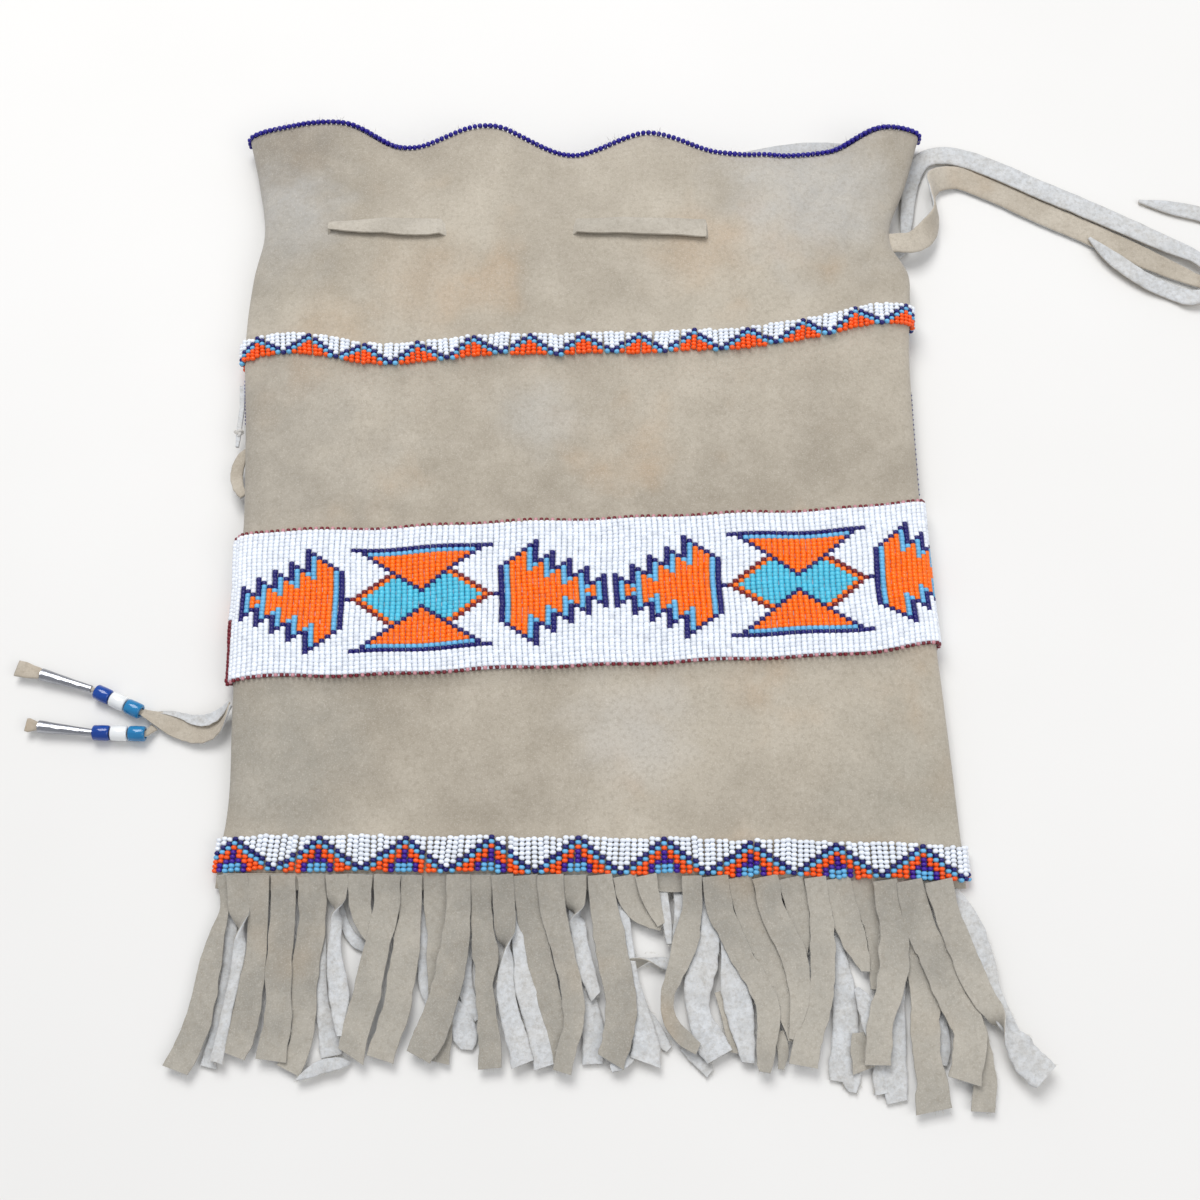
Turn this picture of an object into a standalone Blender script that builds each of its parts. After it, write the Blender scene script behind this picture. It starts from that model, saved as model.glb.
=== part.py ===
"""Beaded buckskin medicine bag, lying on its back with its mouth towards +Y.

A folded hide makes the pouch and its fringe. Three bands of seed beads go round it, a leather
drawstring runs through slits below the mouth, and two small ties hang from the left seam.
Metres, +Z up. The origin is at the bottom centre of the bag without its free thongs.
"""
import math
import random

import bmesh
import bpy
from mathutils import Vector

# Pouch
BAG_LENGTH = 0.300
HALF_WIDTH = 0.1275
BAG_THICKNESS = 0.0185
HIDE = 0.0014
BOTTOM_SEAM = 0.004
CLEARANCE = 0.0003
FOLD_HEIGHT_SHARE = 0.40
FRONT_ROUNDNESS = 3.0
BACK_ROUNDNESS = 5.0
BACK_FLATNESS = 1.06
FRONT_STATIONS = 18
BACK_ACROSS = (0.97, 0.88, 0.72, 0.42, 0.0, -0.42, -0.72, -0.88, -0.97)

# How far each side stands out of the mean width, by share of the length from the bottom seam
LEFT_BULGE = ((0.0, -0.001), (0.10, -0.004), (0.22, -0.003), (0.45, -0.002), (0.57, 0.0),
              (0.70, 0.003), (0.80, 0.002), (0.87, -0.001), (0.94, 0.003), (1.0, 0.008))
RIGHT_BULGE = ((0.0, 0.0075), (0.20, 0.0035), (0.32, 0.001), (0.45, 0.0), (0.62, 0.0), (0.72, 0.002),
               (0.79, 0.002), (0.87, -0.0045), (0.94, 0.004), (1.0, 0.0105))
THICKNESS_SHAPE = ((0.0, 0.17), (0.05, 0.42), (0.16, 0.70), (0.34, 0.87), (0.66, 1.0), (0.86, 1.0),
                   (1.0, 0.93))

# Mouth edge above or below the mean length, by share of the half width
FRONT_MOUTH = ((-1.0, 0.006), (-0.72, 0.008), (-0.53, -0.003), (-0.29, 0.0055), (-0.04, -0.006),
               (0.19, 0.0025), (0.40, -0.0045), (0.72, -0.004), (0.88, 0.007), (1.0, 0.008))
BACK_MOUTH = ((-1.0, 0.006), (-0.53, 0.002), (0.0, 0.0), (0.45, 0.004), (0.66, 0.0085), (0.80, 0.006),
              (1.0, 0.008))
MOUTH_RUFFLE = 0.35

# Beadwork: the rows of a band lie one bead length apart
BEAD_ROW = 0.0015
BEAD_SHEET = 0.0016
LOWER_START = 0.004
LOWER_ROWS = 8
LOOM_START = 0.076
LOOM_ROWS = 38
UPPER_START = 0.2005
UPPER_ROWS = 6
LOOM_END_REACH = 0.003
SEAM_GAP = 0.0008
LOWER_DRIFT = ((-1.0, 0.001), (0.0, 0.0), (1.0, -0.0022))
LOOM_DRIFT = ((-1.0, -0.0035), (-0.5, -0.003), (0.0, 0.0), (0.5, 0.0025), (0.8, 0.006), (1.0, 0.011))
UPPER_DRIFT = ((-1.0, 0.001), (-0.85, 0.002), (-0.55, -0.0045), (-0.3, -0.001), (0.3, 0.001),
               (0.6, 0.005), (0.85, 0.014), (1.0, 0.018))

# Drawstring, a flat thong through slits below the mouth
THONG_WIDTH = 0.008
THONG = 0.0013
DRAWSTRING_HEIGHT = 0.258
THONG_INSIDE_GAP = 0.0008
SLITS = (-0.100, -0.0535, -0.003, 0.050)
SLIT_WIDTH = 0.0044
SLIT_STEP = 0.0013
SLIT_CUT_DEPTH = 0.006
BACK_EXIT = 0.092
SIDE_EXIT_HEIGHT = 0.0088
EXIT_REACH = 0.0025

# Fringe
FRONT_STRANDS = 31
BACK_STRANDS = 30
STRAND_GAP = 0.0008
STRAND_TIP_SHARE = 0.80
STRAND_LENGTH = 0.066
STRAND_LENGTH_SPREAD = 0.008
STRAND = 0.0013
STRAND_STEPS = 3
FRONT_STRAND_HEIGHT = 0.00245
BACK_STRAND_HEIGHT = 0.0008
STRAND_ROOT = 0.0012
FRINGE_LEAN = ((-1.0, -0.016), (-0.5, -0.009), (0.12, -0.006), (0.20, 0.006), (0.7, 0.012), (1.0, 0.024))

# Beads, cones and edgings
CROW_BEAD_RADIUS = 0.0028
CROW_BEAD_HOLE = 0.0016
CROW_BEAD_LENGTH = 0.0061
CROW_BEAD_PITCH = 0.00645
CONE_LENGTH = 0.0195
CONE_NARROW = 0.0021
CONE_MOUTH = 0.0027
CONE_WALL = 0.0004
TIE_HEIGHT = 0.0029
TURN_STEPS = 12
EDGING_RADIUS = 0.0012
SIDE_EDGING_RADIUS = 0.0010
KNOT_SIZE = (0.0070, 0.0060, 0.0045)
SMALL_KNOT_RADIUS = 0.0018

SEED = 7


def clear_scene():
    for item in list(bpy.data.objects):
        bpy.data.objects.remove(item, do_unlink=True)


def make_collection(name):
    collection = bpy.data.collections.new(name)
    bpy.context.scene.collection.children.link(collection)
    return collection


def make_material(name, colour, roughness, metallic=0.0):
    material = bpy.data.materials.new(name)
    material.use_nodes = True
    shader = material.node_tree.nodes["Principled BSDF"]
    shader.inputs["Base Color"].default_value = (*colour, 1.0)
    shader.inputs["Roughness"].default_value = roughness
    shader.inputs["Metallic"].default_value = metallic
    return material


def add_mesh(name, form, material, collection=None):
    mesh = bpy.data.meshes.new(name)
    form.to_mesh(mesh)
    form.free()
    mesh.materials.append(material)
    item = bpy.data.objects.new(name, mesh)
    (collection or BAG).objects.link(item)
    return item


def smooth(points, place):
    """Height at a place on the curve through (place, height) points."""
    if place <= points[0][0]:
        return points[0][1]
    if place >= points[-1][0]:
        return points[-1][1]
    after = next(i for i, point in enumerate(points) if place <= point[0])
    slopes = []
    for i in (after - 1, after):
        low = points[max(i - 1, 0)]
        high = points[min(i + 1, len(points) - 1)]
        slopes.append((high[1] - low[1]) / (high[0] - low[0]))
    start, end = points[after - 1], points[after]
    width = end[0] - start[0]
    t = (place - start[0]) / width
    return (start[1] * (2 * t ** 3 - 3 * t ** 2 + 1) + end[1] * (3 * t ** 2 - 2 * t ** 3)
            + width * (slopes[0] * (t ** 3 - 2 * t ** 2 + t) + slopes[1] * (t ** 3 - t ** 2)))


# Surface of the pouch
ACROSS = [-math.cos(math.pi * i / FRONT_STATIONS) for i in range(FRONT_STATIONS + 1)] + list(BACK_ACROSS)
STATIONS = len(ACROSS)
LOWER_END = LOWER_START + LOWER_ROWS * BEAD_ROW
LOOM_END = LOOM_START + LOOM_ROWS * BEAD_ROW
UPPER_END = UPPER_START + UPPER_ROWS * BEAD_ROW
THONG_STRIP = (DRAWSTRING_HEIGHT - THONG_WIDTH / 2 - CLEARANCE, DRAWSTRING_HEIGHT + THONG_WIDTH / 2 + CLEARANCE)
RAISED_STRIPS = ((LOWER_START, LOWER_END), (LOOM_START, LOOM_END), (UPPER_START, UPPER_END), THONG_STRIP)
LIFT = CLEARANCE + BEAD_SHEET
LIFT_RAMP = 0.004
DRIFT_LINES = ((0.0, None), (LOWER_START, LOWER_DRIFT), (LOWER_END, LOWER_DRIFT), (LOOM_START, LOOM_DRIFT),
               (LOOM_END, LOOM_DRIFT), (UPPER_START, UPPER_DRIFT), (UPPER_END, UPPER_DRIFT),
               (THONG_STRIP[0], None), (THONG_STRIP[1], None))


def lift(height):
    """The beadwork and the thong under the back hold the hide up along their strips."""
    gap = min(max(low - height, height - high, 0.0) for low, high in RAISED_STRIPS)
    return LIFT * max(0.0, 1.0 - gap / LIFT_RAMP)


def drift(across, height, front):
    """How far a row of the hide runs above its own height, at a share of the half width."""
    lines = DRIFT_LINES + ((BAG_LENGTH, FRONT_MOUTH if front else BACK_MOUTH),)
    for (low, low_line), (high, high_line) in zip(lines, lines[1:]):
        if height <= high:
            share = (height - low) / (high - low)
            below = smooth(low_line, across) if low_line else 0.0
            above = smooth(high_line, across) if high_line else 0.0
            return below + (above - below) * max(share, 0.0)
    return smooth(lines[-1][1], across)


def station_point(station, height, out=0.0):
    """Point of the pouch at a whole station, from the left seam over the front, then back underneath."""
    station %= STATIONS
    share = height / BAG_LENGTH
    left = -HALF_WIDTH - smooth(LEFT_BULGE, share) - out
    right = HALF_WIDTH + smooth(RIGHT_BULGE, share) + out
    across = ACROSS[station]
    front = station <= FRONT_STATIONS
    thickness = BAG_THICKNESS * smooth(THICKNESS_SHAPE, share)
    fold = FOLD_HEIGHT_SHARE * thickness
    if front:
        crown = max(0.0, 1.0 - abs(across) ** FRONT_ROUNDNESS) ** (1.0 / FRONT_ROUNDNESS)
        z = fold + (thickness - fold + out) * crown
        mouth_share = max(0.0, (height - THONG_STRIP[1]) / (BAG_LENGTH - THONG_STRIP[1]))
        z += MOUTH_RUFFLE * smooth(FRONT_MOUTH, across) * mouth_share * crown
    else:
        belly = max(0.0, 1.0 - abs(across) ** BACK_ROUNDNESS) ** (1.0 / BACK_ROUNDNESS)
        z = fold - (fold + out) * min(1.0, BACK_FLATNESS * belly)
    x = (left + right) / 2 + across * (right - left) / 2
    return Vector((x, height + drift(across, height, front), z + lift(height)))


def skin_point(turn, height, out=0.0):
    """Point of the faceted pouch between two stations."""
    low = math.floor(turn)
    start = station_point(low, height, out)
    return start.lerp(station_point(low + 1, height, out), turn - low)


def turn_at(x, height, back=False):
    """Turn at which the front or the back of the pouch passes a place across it."""
    stations = range(FRONT_STATIONS, STATIONS) if back else range(FRONT_STATIONS)
    for station in stations:
        near = station_point(station, height).x
        far = station_point(station + 1, height).x
        if min(near, far) <= x <= max(near, far):
            return station + (x - near) / (far - near)
    return stations[-1]


def grid(form, across, along):
    """Flat grid of faces; each vertex comes back with its place in the grid."""
    made = bmesh.ops.create_grid(form, x_segments=across, y_segments=along, size=1.0)["verts"]
    places = []
    for vertex in made:
        column = round((vertex.co.x + 1.0) / 2.0 * across)
        row = round((vertex.co.y + 1.0) / 2.0 * along)
        places.append((vertex, column, row))
    return places


# Hide: pouch and fringe, cut from one piece

def hide_rows(lowest):
    rows = {0.0, BAG_LENGTH}
    for low, high in RAISED_STRIPS:
        rows.update((low - LIFT_RAMP, low, high, high + LIFT_RAMP))
    rows.update(((LOWER_END + LOOM_START) / 2, (LOOM_END + UPPER_START) / 2))
    rows.update(((UPPER_END + THONG_STRIP[0]) / 2, (THONG_STRIP[1] + BAG_LENGTH) / 2))
    return sorted(row for row in rows if row >= lowest - 1e-6)


def hide_tube(form, lowest, out):
    rows = hide_rows(lowest)
    places = grid(form, STATIONS, len(rows) - 1)
    for vertex, station, row in places:
        vertex.co = station_point(station, rows[row], out)
    bmesh.ops.remove_doubles(form, verts=[place[0] for place in places], dist=1e-7)


def close_form(form):
    bmesh.ops.triangulate(form, faces=form.faces, quad_method="FIXED")
    bmesh.ops.recalc_face_normals(form, faces=form.faces)


def open_edges_near(form, height):
    found = []
    for edge in form.edges:
        if edge.is_boundary and abs(edge.verts[0].co.y - height) < BAG_LENGTH / 2:
            found.append(edge)
    return found


def make_pouch(material):
    form = bmesh.new()
    hide_tube(form, 0.0, 0.0)
    hide_tube(form, BOTTOM_SEAM, -HIDE)
    bmesh.ops.bridge_loops(form, edges=open_edges_near(form, BAG_LENGTH))
    bmesh.ops.holes_fill(form, edges=open_edges_near(form, 0.0), sides=0)
    close_form(form)
    return add_mesh("buckskin_pouch", form, material)


def make_strands(material):
    """Front and back layers of the fringe, as flat strips that lean outwards to both sides."""
    draw = random.Random(SEED)
    form = bmesh.new()
    left = -HALF_WIDTH - LEFT_BULGE[0][1]
    right = HALF_WIDTH + RIGHT_BULGE[0][1]
    for layer_height, count in ((FRONT_STRAND_HEIGHT, FRONT_STRANDS), (BACK_STRAND_HEIGHT, BACK_STRANDS)):
        pitch = (right - left) / count
        for strand in range(count):
            root = left + (strand + 0.5) * pitch
            lean = smooth(FRINGE_LEAN, (2 * root - left - right) / (right - left))
            lean += draw.uniform(-0.0006, 0.0006)
            length = STRAND_LENGTH + draw.uniform(-0.5, 1.0) * STRAND_LENGTH_SPREAD
            width = pitch - STRAND_GAP
            for vertex, side, step in grid(form, 1, STRAND_STEPS):
                share = step / STRAND_STEPS
                half = width / 2 * (1.0 - (1.0 - STRAND_TIP_SHARE) * share)
                x = root + lean * share ** 1.4 + (2 * side - 1) * half
                vertex.co = (x, STRAND_ROOT - (STRAND_ROOT + length) * share, layer_height)
    bmesh.ops.recalc_face_normals(form, faces=form.faces)
    strands = add_mesh("fringe_strands", form, material, GUIDES)
    thicken(strands, STRAND)
    return strands


def thicken(item, thickness, offset=0.0):
    solid = item.modifiers.new("thickness", "SOLIDIFY")
    solid.thickness = thickness
    solid.offset = offset
    solid.use_even_offset = True


def add_box(form, centre, size):
    made = bmesh.ops.create_cube(form, size=1.0)["verts"]
    bmesh.ops.scale(form, verts=made, vec=size)
    bmesh.ops.translate(form, verts=made, vec=centre)


def make_slit_cutter(material):
    """Upright slits through the front and the back, and one through the right fold."""
    form = bmesh.new()
    size = (SLIT_WIDTH, THONG_WIDTH + 0.0008, SLIT_CUT_DEPTH)
    for x in SLITS:
        for back in (False, True):
            add_box(form, slit_place(x, back), size)
    add_box(form, slit_place(BACK_EXIT, True), size)
    fold = station_point(FRONT_STATIONS, DRAWSTRING_HEIGHT)
    side = (SLIT_CUT_DEPTH, THONG_WIDTH + 0.0008, THONG + 0.0008)
    add_box(form, (fold.x - HIDE / 2, DRAWSTRING_HEIGHT, SIDE_EXIT_HEIGHT), side)
    return add_mesh("slit_cutter", form, material, GUIDES)


def slit_place(x, back):
    turn = turn_at(x, DRAWSTRING_HEIGHT, back)
    return skin_point(turn, DRAWSTRING_HEIGHT, -HIDE / 2)


def cut_with(item, operation, other):
    boolean = item.modifiers.new(operation.lower(), "BOOLEAN")
    boolean.operation = operation
    boolean.solver = "EXACT"
    boolean.object = other
    other.hide_render = True
    other.display_type = "WIRE"


def make_hide(material):
    pouch = make_pouch(material)
    cut_with(pouch, "UNION", make_strands(material))
    cut_with(pouch, "DIFFERENCE", make_slit_cutter(material))


# Edgings: a bead cord along the mouth and along both sides

def make_tube(name, points, radius, material, closed=False):
    curve = bpy.data.curves.new(name, "CURVE")
    curve.dimensions = "3D"
    curve.bevel_depth = radius
    curve.bevel_resolution = 1
    curve.use_fill_caps = not closed
    curve.render_resolution_u = 0
    spline = curve.splines.new("POLY")
    spline.points.add(len(points) - 1)
    for point, place in zip(spline.points, points):
        point.co = (*place, 1.0)
    spline.use_cyclic_u = closed
    add_mesh(name, from_curve(curve), material)


def from_curve(curve):
    item = bpy.data.objects.new("curve", curve)
    bpy.context.scene.collection.objects.link(item)
    ready = item.evaluated_get(bpy.context.evaluated_depsgraph_get())
    mesh = bpy.data.meshes.new_from_object(ready)
    form = bmesh.new()
    form.from_mesh(mesh)
    bpy.data.objects.remove(item, do_unlink=True)
    bmesh.ops.remove_doubles(form, verts=form.verts, dist=1e-6)
    return form


def make_edgings(material):
    rim = [station_point(station, BAG_LENGTH, -HIDE / 2) for station in range(STATIONS)]
    path = []
    for i, place in enumerate(rim):
        along = (rim[(i + 1) % len(rim)] - rim[i - 1]).normalized()
        away = Vector((0.0, 1.0, 0.0))
        away = (away - along * away.dot(along)).normalized()
        bead = place + away * (EDGING_RADIUS + CLEARANCE + HIDE / 4)
        bead.z = max(bead.z, EDGING_RADIUS + CLEARANCE / 3)
        path.append(bead)
    make_tube("mouth_edging", path, EDGING_RADIUS, material, closed=True)
    reach = SIDE_EDGING_RADIUS + CLEARANCE
    for name, station, low, high in (("left_seam_edging", 0, 0.1775, UPPER_START - 0.005),
                                     ("right_fold_edging", FRONT_STATIONS, LOOM_END + 0.003, 0.176)):
        heights = [low + (high - low) * i / 4 for i in range(5)]
        places = [station_point(station, height, reach) for height in heights]
        make_tube(name, places, SIDE_EDGING_RADIUS, material)


# Beadwork

def make_band(name, span, material, reach=0.0):
    """Sheet of beads round the pouch over a strip of its height, open at the left seam."""
    low, high = span
    near, far = CLEARANCE, CLEARANCE + BEAD_SHEET
    edges = ((low, near), (high, near), (high, far), (low, far))
    form = bmesh.new()
    places = grid(form, len(edges), STATIONS)
    for vertex, edge, station in places:
        height, out = edges[edge % len(edges)]
        vertex.co = station_point(station, height, out)
        if station in (0, STATIONS):
            inner = station_point(1 if station == 0 else STATIONS - 1, height, out)
            vertex.co += (inner - vertex.co).normalized() * SEAM_GAP
            vertex.co.x -= reach
    bmesh.ops.remove_doubles(form, verts=form.verts, dist=1e-7)
    bmesh.ops.holes_fill(form, edges=[edge for edge in form.edges if edge.is_boundary], sides=0)
    close_form(form)
    add_mesh(name, form, material)


# Drawstring and ties, flat thongs

def make_ribbon(name, centres, sides, thickness, material):
    """Strap through centre points; each side vector is half the width there."""
    form = bmesh.new()
    for vertex, side, step in grid(form, 1, len(centres) - 1):
        vertex.co = Vector(centres[step]) + Vector(sides[step]) * (2 * side - 1)
    bmesh.ops.recalc_face_normals(form, faces=form.faces)
    item = add_mesh(name, form, material)
    thicken(item, thickness)
    return item


def make_thong(name, route, thickness, material, steps=3):
    """Free thong: each route point is x, y, z, width and the tilt of its width in degrees."""
    points = through(route, steps)
    centres = [Vector(point[:3]) for point in points]
    sides = []
    for i, point in enumerate(points):
        along = centres[min(i + 1, len(centres) - 1)] - centres[max(i - 1, 0)]
        level = Vector((-along.y, along.x, 0.0)).normalized()
        tilt = math.radians(point[4])
        up = along.cross(level).normalized()
        sides.append((level * math.cos(tilt) + up * math.sin(tilt)) * point[3] / 2)
    return make_ribbon(name, centres, sides, thickness, material)


def through(route, steps):
    """Smooth run of points through a route, a few to each of its spans."""
    marks = [0.0]
    for before, after in zip(route, route[1:]):
        marks.append(marks[-1] + (Vector(after[:3]) - Vector(before[:3])).length)
    points = []
    for before, after in zip(marks, marks[1:]):
        for step in range(steps):
            place = before + (after - before) * step / steps
            points.append([smooth([(m, p[k]) for m, p in zip(marks, route)], place) for k in range(5)])
    points.append(list(route[-1]))
    return points


def thong_path():
    """Threaded part of the drawstring: out of the right fold, across the front and back under."""
    outside = CLEARANCE + THONG / 2
    inside = -(HIDE + THONG_INSIDE_GAP + THONG / 2)
    path = []
    for back in (False, True):
        crossings = []
        for i, x in enumerate(SLITS):
            inward = -1 if i % 2 == 0 else 1
            crossings.append((x + inward * SLIT_STEP, inside))
            crossings.append((x - inward * SLIT_STEP, outside))
        marks = [(turn_at(x, DRAWSTRING_HEIGHT, back), out) for x, out in crossings]
        marks = [(turn - STATIONS if back else turn, out) for turn, out in marks]
        path.extend(marks)
    last = turn_at(BACK_EXIT - SLIT_STEP, DRAWSTRING_HEIGHT, True) - STATIONS
    path.append((last, inside))
    path.sort(reverse=True)
    filled = []
    stops = [(FRONT_STATIONS - 2.0, inside)] + path
    for (start, out), (end, next_out) in zip(stops, stops[1:]):
        filled.append((start, out))
        if out == next_out:
            middle = range(math.ceil(start) - 1, math.floor(end), -1)
            filled.extend((float(turn), out) for turn in middle if start - turn > 0.1 and turn - end > 0.1)
    filled.append(stops[-1])
    return [skin_point(turn % STATIONS, DRAWSTRING_HEIGHT, out) for turn, out in filled]


def make_threaded_drawstring(material):
    fold = station_point(FRONT_STATIONS, DRAWSTRING_HEIGHT)
    path = thong_path()
    entry = Vector((fold.x - 2 * EXIT_REACH, DRAWSTRING_HEIGHT, SIDE_EXIT_HEIGHT))
    start = Vector((fold.x + EXIT_REACH, DRAWSTRING_HEIGHT, SIDE_EXIT_HEIGHT))
    below = skin_point(turn_at(BACK_EXIT + SLIT_STEP, DRAWSTRING_HEIGHT, True), DRAWSTRING_HEIGHT)
    under = Vector((below.x, DRAWSTRING_HEIGHT, THONG / 2 + CLEARANCE))
    end = Vector((fold.x + EXIT_REACH, DRAWSTRING_HEIGHT, THONG / 2 + CLEARANCE))
    centres = [start, entry] + path + [under, end]
    sides = [Vector((0.0, THONG_WIDTH / 2, 0.0))] * len(centres)
    make_ribbon("drawstring_threaded", centres, sides, THONG, material)


# Routes of the free thongs: x, y, z, width, tilt
FRONT_STRAP = ((0.1262, 0.2580, 0.0088, 0.008, 0), (0.1325, 0.2590, 0.0078, 0.008, 5),
               (0.1395, 0.2650, 0.0064, 0.008, 30), (0.1440, 0.2760, 0.0052, 0.008, 65),
               (0.1430, 0.2850, 0.0048, 0.008, 60), (0.1455, 0.2920, 0.0036, 0.008, 20),
               (0.1545, 0.2935, 0.0012, 0.008, 0), (0.1674, 0.2872, 0.0010, 0.008, 0),
               (0.1843, 0.2775, 0.0010, 0.008, 0), (0.2012, 0.2685, 0.0010, 0.008, 0),
               (0.2176, 0.2597, 0.0010, 0.008, 0), (0.2344, 0.2510, 0.0010, 0.007, 0),
               (0.2486, 0.2440, 0.0012, 0.005, 0))
BACK_STRAP = ((0.1259, 0.2580, 0.00095, 0.006, 0), (0.1285, 0.2584, 0.00095, 0.004, 0),
              (0.1306, 0.2620, 0.0009, 0.0035, 0), (0.1320, 0.2720, 0.0009, 0.005, 0),
              (0.1335, 0.2830, 0.0009, 0.006, 0), (0.1355, 0.2930, 0.0009, 0.007, 0),
              (0.1410, 0.3030, 0.0009, 0.007, 0), (0.1520, 0.3052, 0.0009, 0.007, 0),
              (0.1685, 0.2990, 0.0009, 0.007, 0), (0.1860, 0.2895, 0.0009, 0.007, 0),
              (0.2030, 0.2808, 0.0009, 0.007, 0), (0.2200, 0.2715, 0.0009, 0.007, 0),
              (0.2365, 0.2622, 0.0012, 0.007, 0), (0.2460, 0.2550, 0.0034, 0.006, 0),
              (0.2520, 0.2478, 0.0050, 0.005, 0))
KNOT_PLACE = (0.2560, 0.2405, 0.0046)
LOW_TAIL = ((0.2490, 0.2370, 0.0040, 0.005, 0), (0.2430, 0.2368, 0.0022, 0.007, 0),
            (0.2360, 0.2400, 0.0010, 0.007, 0), (0.2250, 0.2452, 0.0024, 0.007, 0),
            (0.2130, 0.2550, 0.0031, 0.006, 0), (0.2050, 0.2640, 0.0030, 0.0012, 0))
HIGH_TAIL = ((0.2604, 0.2464, 0.0050, 0.005, 0), (0.2640, 0.2560, 0.0018, 0.007, 0),
             (0.2632, 0.2680, 0.0009, 0.007, 0), (0.2550, 0.2755, 0.0009, 0.007, 0),
             (0.2400, 0.2800, 0.0009, 0.006, 0), (0.2278, 0.2830, 0.0009, 0.0012, 0))
TIE_STEM = ((-0.1252, 0.0650, 0.0054, 0.0045, 80), (-0.1275, 0.0590, 0.0046, 0.0060, 55),
            (-0.1345, 0.0545, 0.0030, 0.0080, 20), (-0.1435, 0.0572, 0.0014, 0.0080, 0),
            (-0.1503, 0.0603, 0.0010, 0.0070, 0))
TIE_LOOP = ((-0.1291, 0.1697, 0.0070, 0.004, 0), (-0.1317, 0.1665, 0.0060, 0.004, 0),
            (-0.1332, 0.1590, 0.0050, 0.004, 0), (-0.1317, 0.1520, 0.0058, 0.004, 0),
            (-0.1291, 0.1480, 0.0068, 0.004, 0))
TIE_THREAD = ((-0.1304, 0.1766, 0.0050, 0.0020, 0), (-0.1300, 0.1820, 0.0030, 0.0020, 0),
              (-0.1306, 0.1885, 0.0012, 0.0020, 0), (-0.1303, 0.1955, 0.0009, 0.0022, 0))
SMALL_KNOT_PLACE = (-0.1303, 0.1745, 0.0056)

# Beaded tails: where the thong starts, where the beads start and end, where the cone ends, and the cut end
FIRST_TAIL = ((-0.1507, 0.0625), (-0.1580, 0.0636), (-0.1769, 0.0724), (-0.1957, 0.0781), (-0.2050, 0.0805))
SECOND_TAIL = ((-0.1532, 0.0583), (-0.1556, 0.0555), (-0.1750, 0.0560), (-0.1943, 0.0583), (-0.1990, 0.0589))


def turned_solid(name, profile, place, direction, material):
    """Solid turned about its own Z from radius and height points, then laid along a direction."""
    form = bmesh.new()
    ring = [form.verts.new((radius, 0.0, height)) for radius, height in profile]
    for before, after in zip(ring, ring[1:] + ring[:1]):
        form.edges.new((before, after))
    item = add_mesh(name, form, material)
    screw = item.modifiers.new("turn", "SCREW")
    screw.steps = TURN_STEPS
    screw.render_steps = TURN_STEPS
    screw.use_merge_vertices = True
    screw.merge_threshold = 0.00001
    item.location = place
    item.rotation_mode = "QUATERNION"
    item.rotation_quaternion = direction.to_track_quat("Z", "Y")
    return item


def bead_profile():
    half = CROW_BEAD_LENGTH / 2
    chamfer = CROW_BEAD_LENGTH / 6
    return ((CROW_BEAD_HOLE, half), (CROW_BEAD_RADIUS - chamfer / 2, half), (CROW_BEAD_RADIUS, half - chamfer),
            (CROW_BEAD_RADIUS, chamfer - half), (CROW_BEAD_RADIUS - chamfer / 2, -half), (CROW_BEAD_HOLE, -half))


def cone_profile():
    return ((CONE_NARROW - CONE_WALL, CONE_LENGTH / 2), (CONE_NARROW, CONE_LENGTH / 2),
            (CONE_MOUTH, -CONE_LENGTH / 2), (CONE_MOUTH - CONE_WALL, -CONE_LENGTH / 2))


def make_tail(name, places, paints, cut_width):
    start, bead_start, cone_start, cone_end, end = [Vector((x, y, TIE_HEIGHT)) for x, y in places]
    start.z = THONG
    narrow = 0.0022
    along = (end - cone_end).normalized()
    flare = cone_end + along * 0.0012
    points = [(start, 0.003), (bead_start, narrow), (cone_start, narrow), (cone_end, narrow),
              (flare, cut_width * 0.8), (end, cut_width)]
    centres = [point for point, width in points]
    sides = []
    for i, (point, width) in enumerate(points):
        run = centres[min(i + 1, len(centres) - 1)] - centres[max(i - 1, 0)]
        sides.append(Vector((-run.y, run.x, 0.0)).normalized() * width / 2)
    make_ribbon(name + "_thong", centres, sides, THONG, paints["leather"])
    along = (cone_start - bead_start).normalized()
    for i, colour in enumerate(("teal", "white", "royal")):
        place = bead_start + along * (CROW_BEAD_PITCH * (i + 0.5) - 0.0001)
        turned_solid(f"{name}_{colour}_bead", bead_profile(), place, along, paints[colour])
    along = (cone_end - cone_start).normalized()
    place = (cone_start + cone_end) / 2
    turned_solid(name + "_cone", cone_profile(), place, -along, paints["tin"])


def make_knot(name, place, size, material):
    form = bmesh.new()
    made = bmesh.ops.create_uvsphere(form, u_segments=12, v_segments=8, radius=1.0)["verts"]
    bmesh.ops.scale(form, verts=made, vec=size)
    bmesh.ops.translate(form, verts=made, vec=place)
    add_mesh(name, form, material)


def make_free_thongs(paints):
    leather = paints["leather"]
    make_thong("drawstring_front_strap", FRONT_STRAP, THONG, leather)
    make_thong("drawstring_back_strap", BACK_STRAP, THONG, leather)
    make_knot("drawstring_knot", KNOT_PLACE, KNOT_SIZE, leather)
    make_thong("drawstring_low_tail", LOW_TAIL, THONG, leather)
    make_thong("drawstring_high_tail", HIGH_TAIL, THONG, leather)
    make_thong("upper_tie_loop", TIE_LOOP, THONG, leather)
    make_thong("upper_tie_thread", TIE_THREAD, THONG, leather)
    make_knot("upper_tie_knot", SMALL_KNOT_PLACE, [SMALL_KNOT_RADIUS] * 3, leather)
    make_thong("lower_tie_stem", TIE_STEM, THONG, leather)
    make_tail("first_tail", FIRST_TAIL, paints, 0.006)
    make_tail("second_tail", SECOND_TAIL, paints, 0.005)


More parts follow.
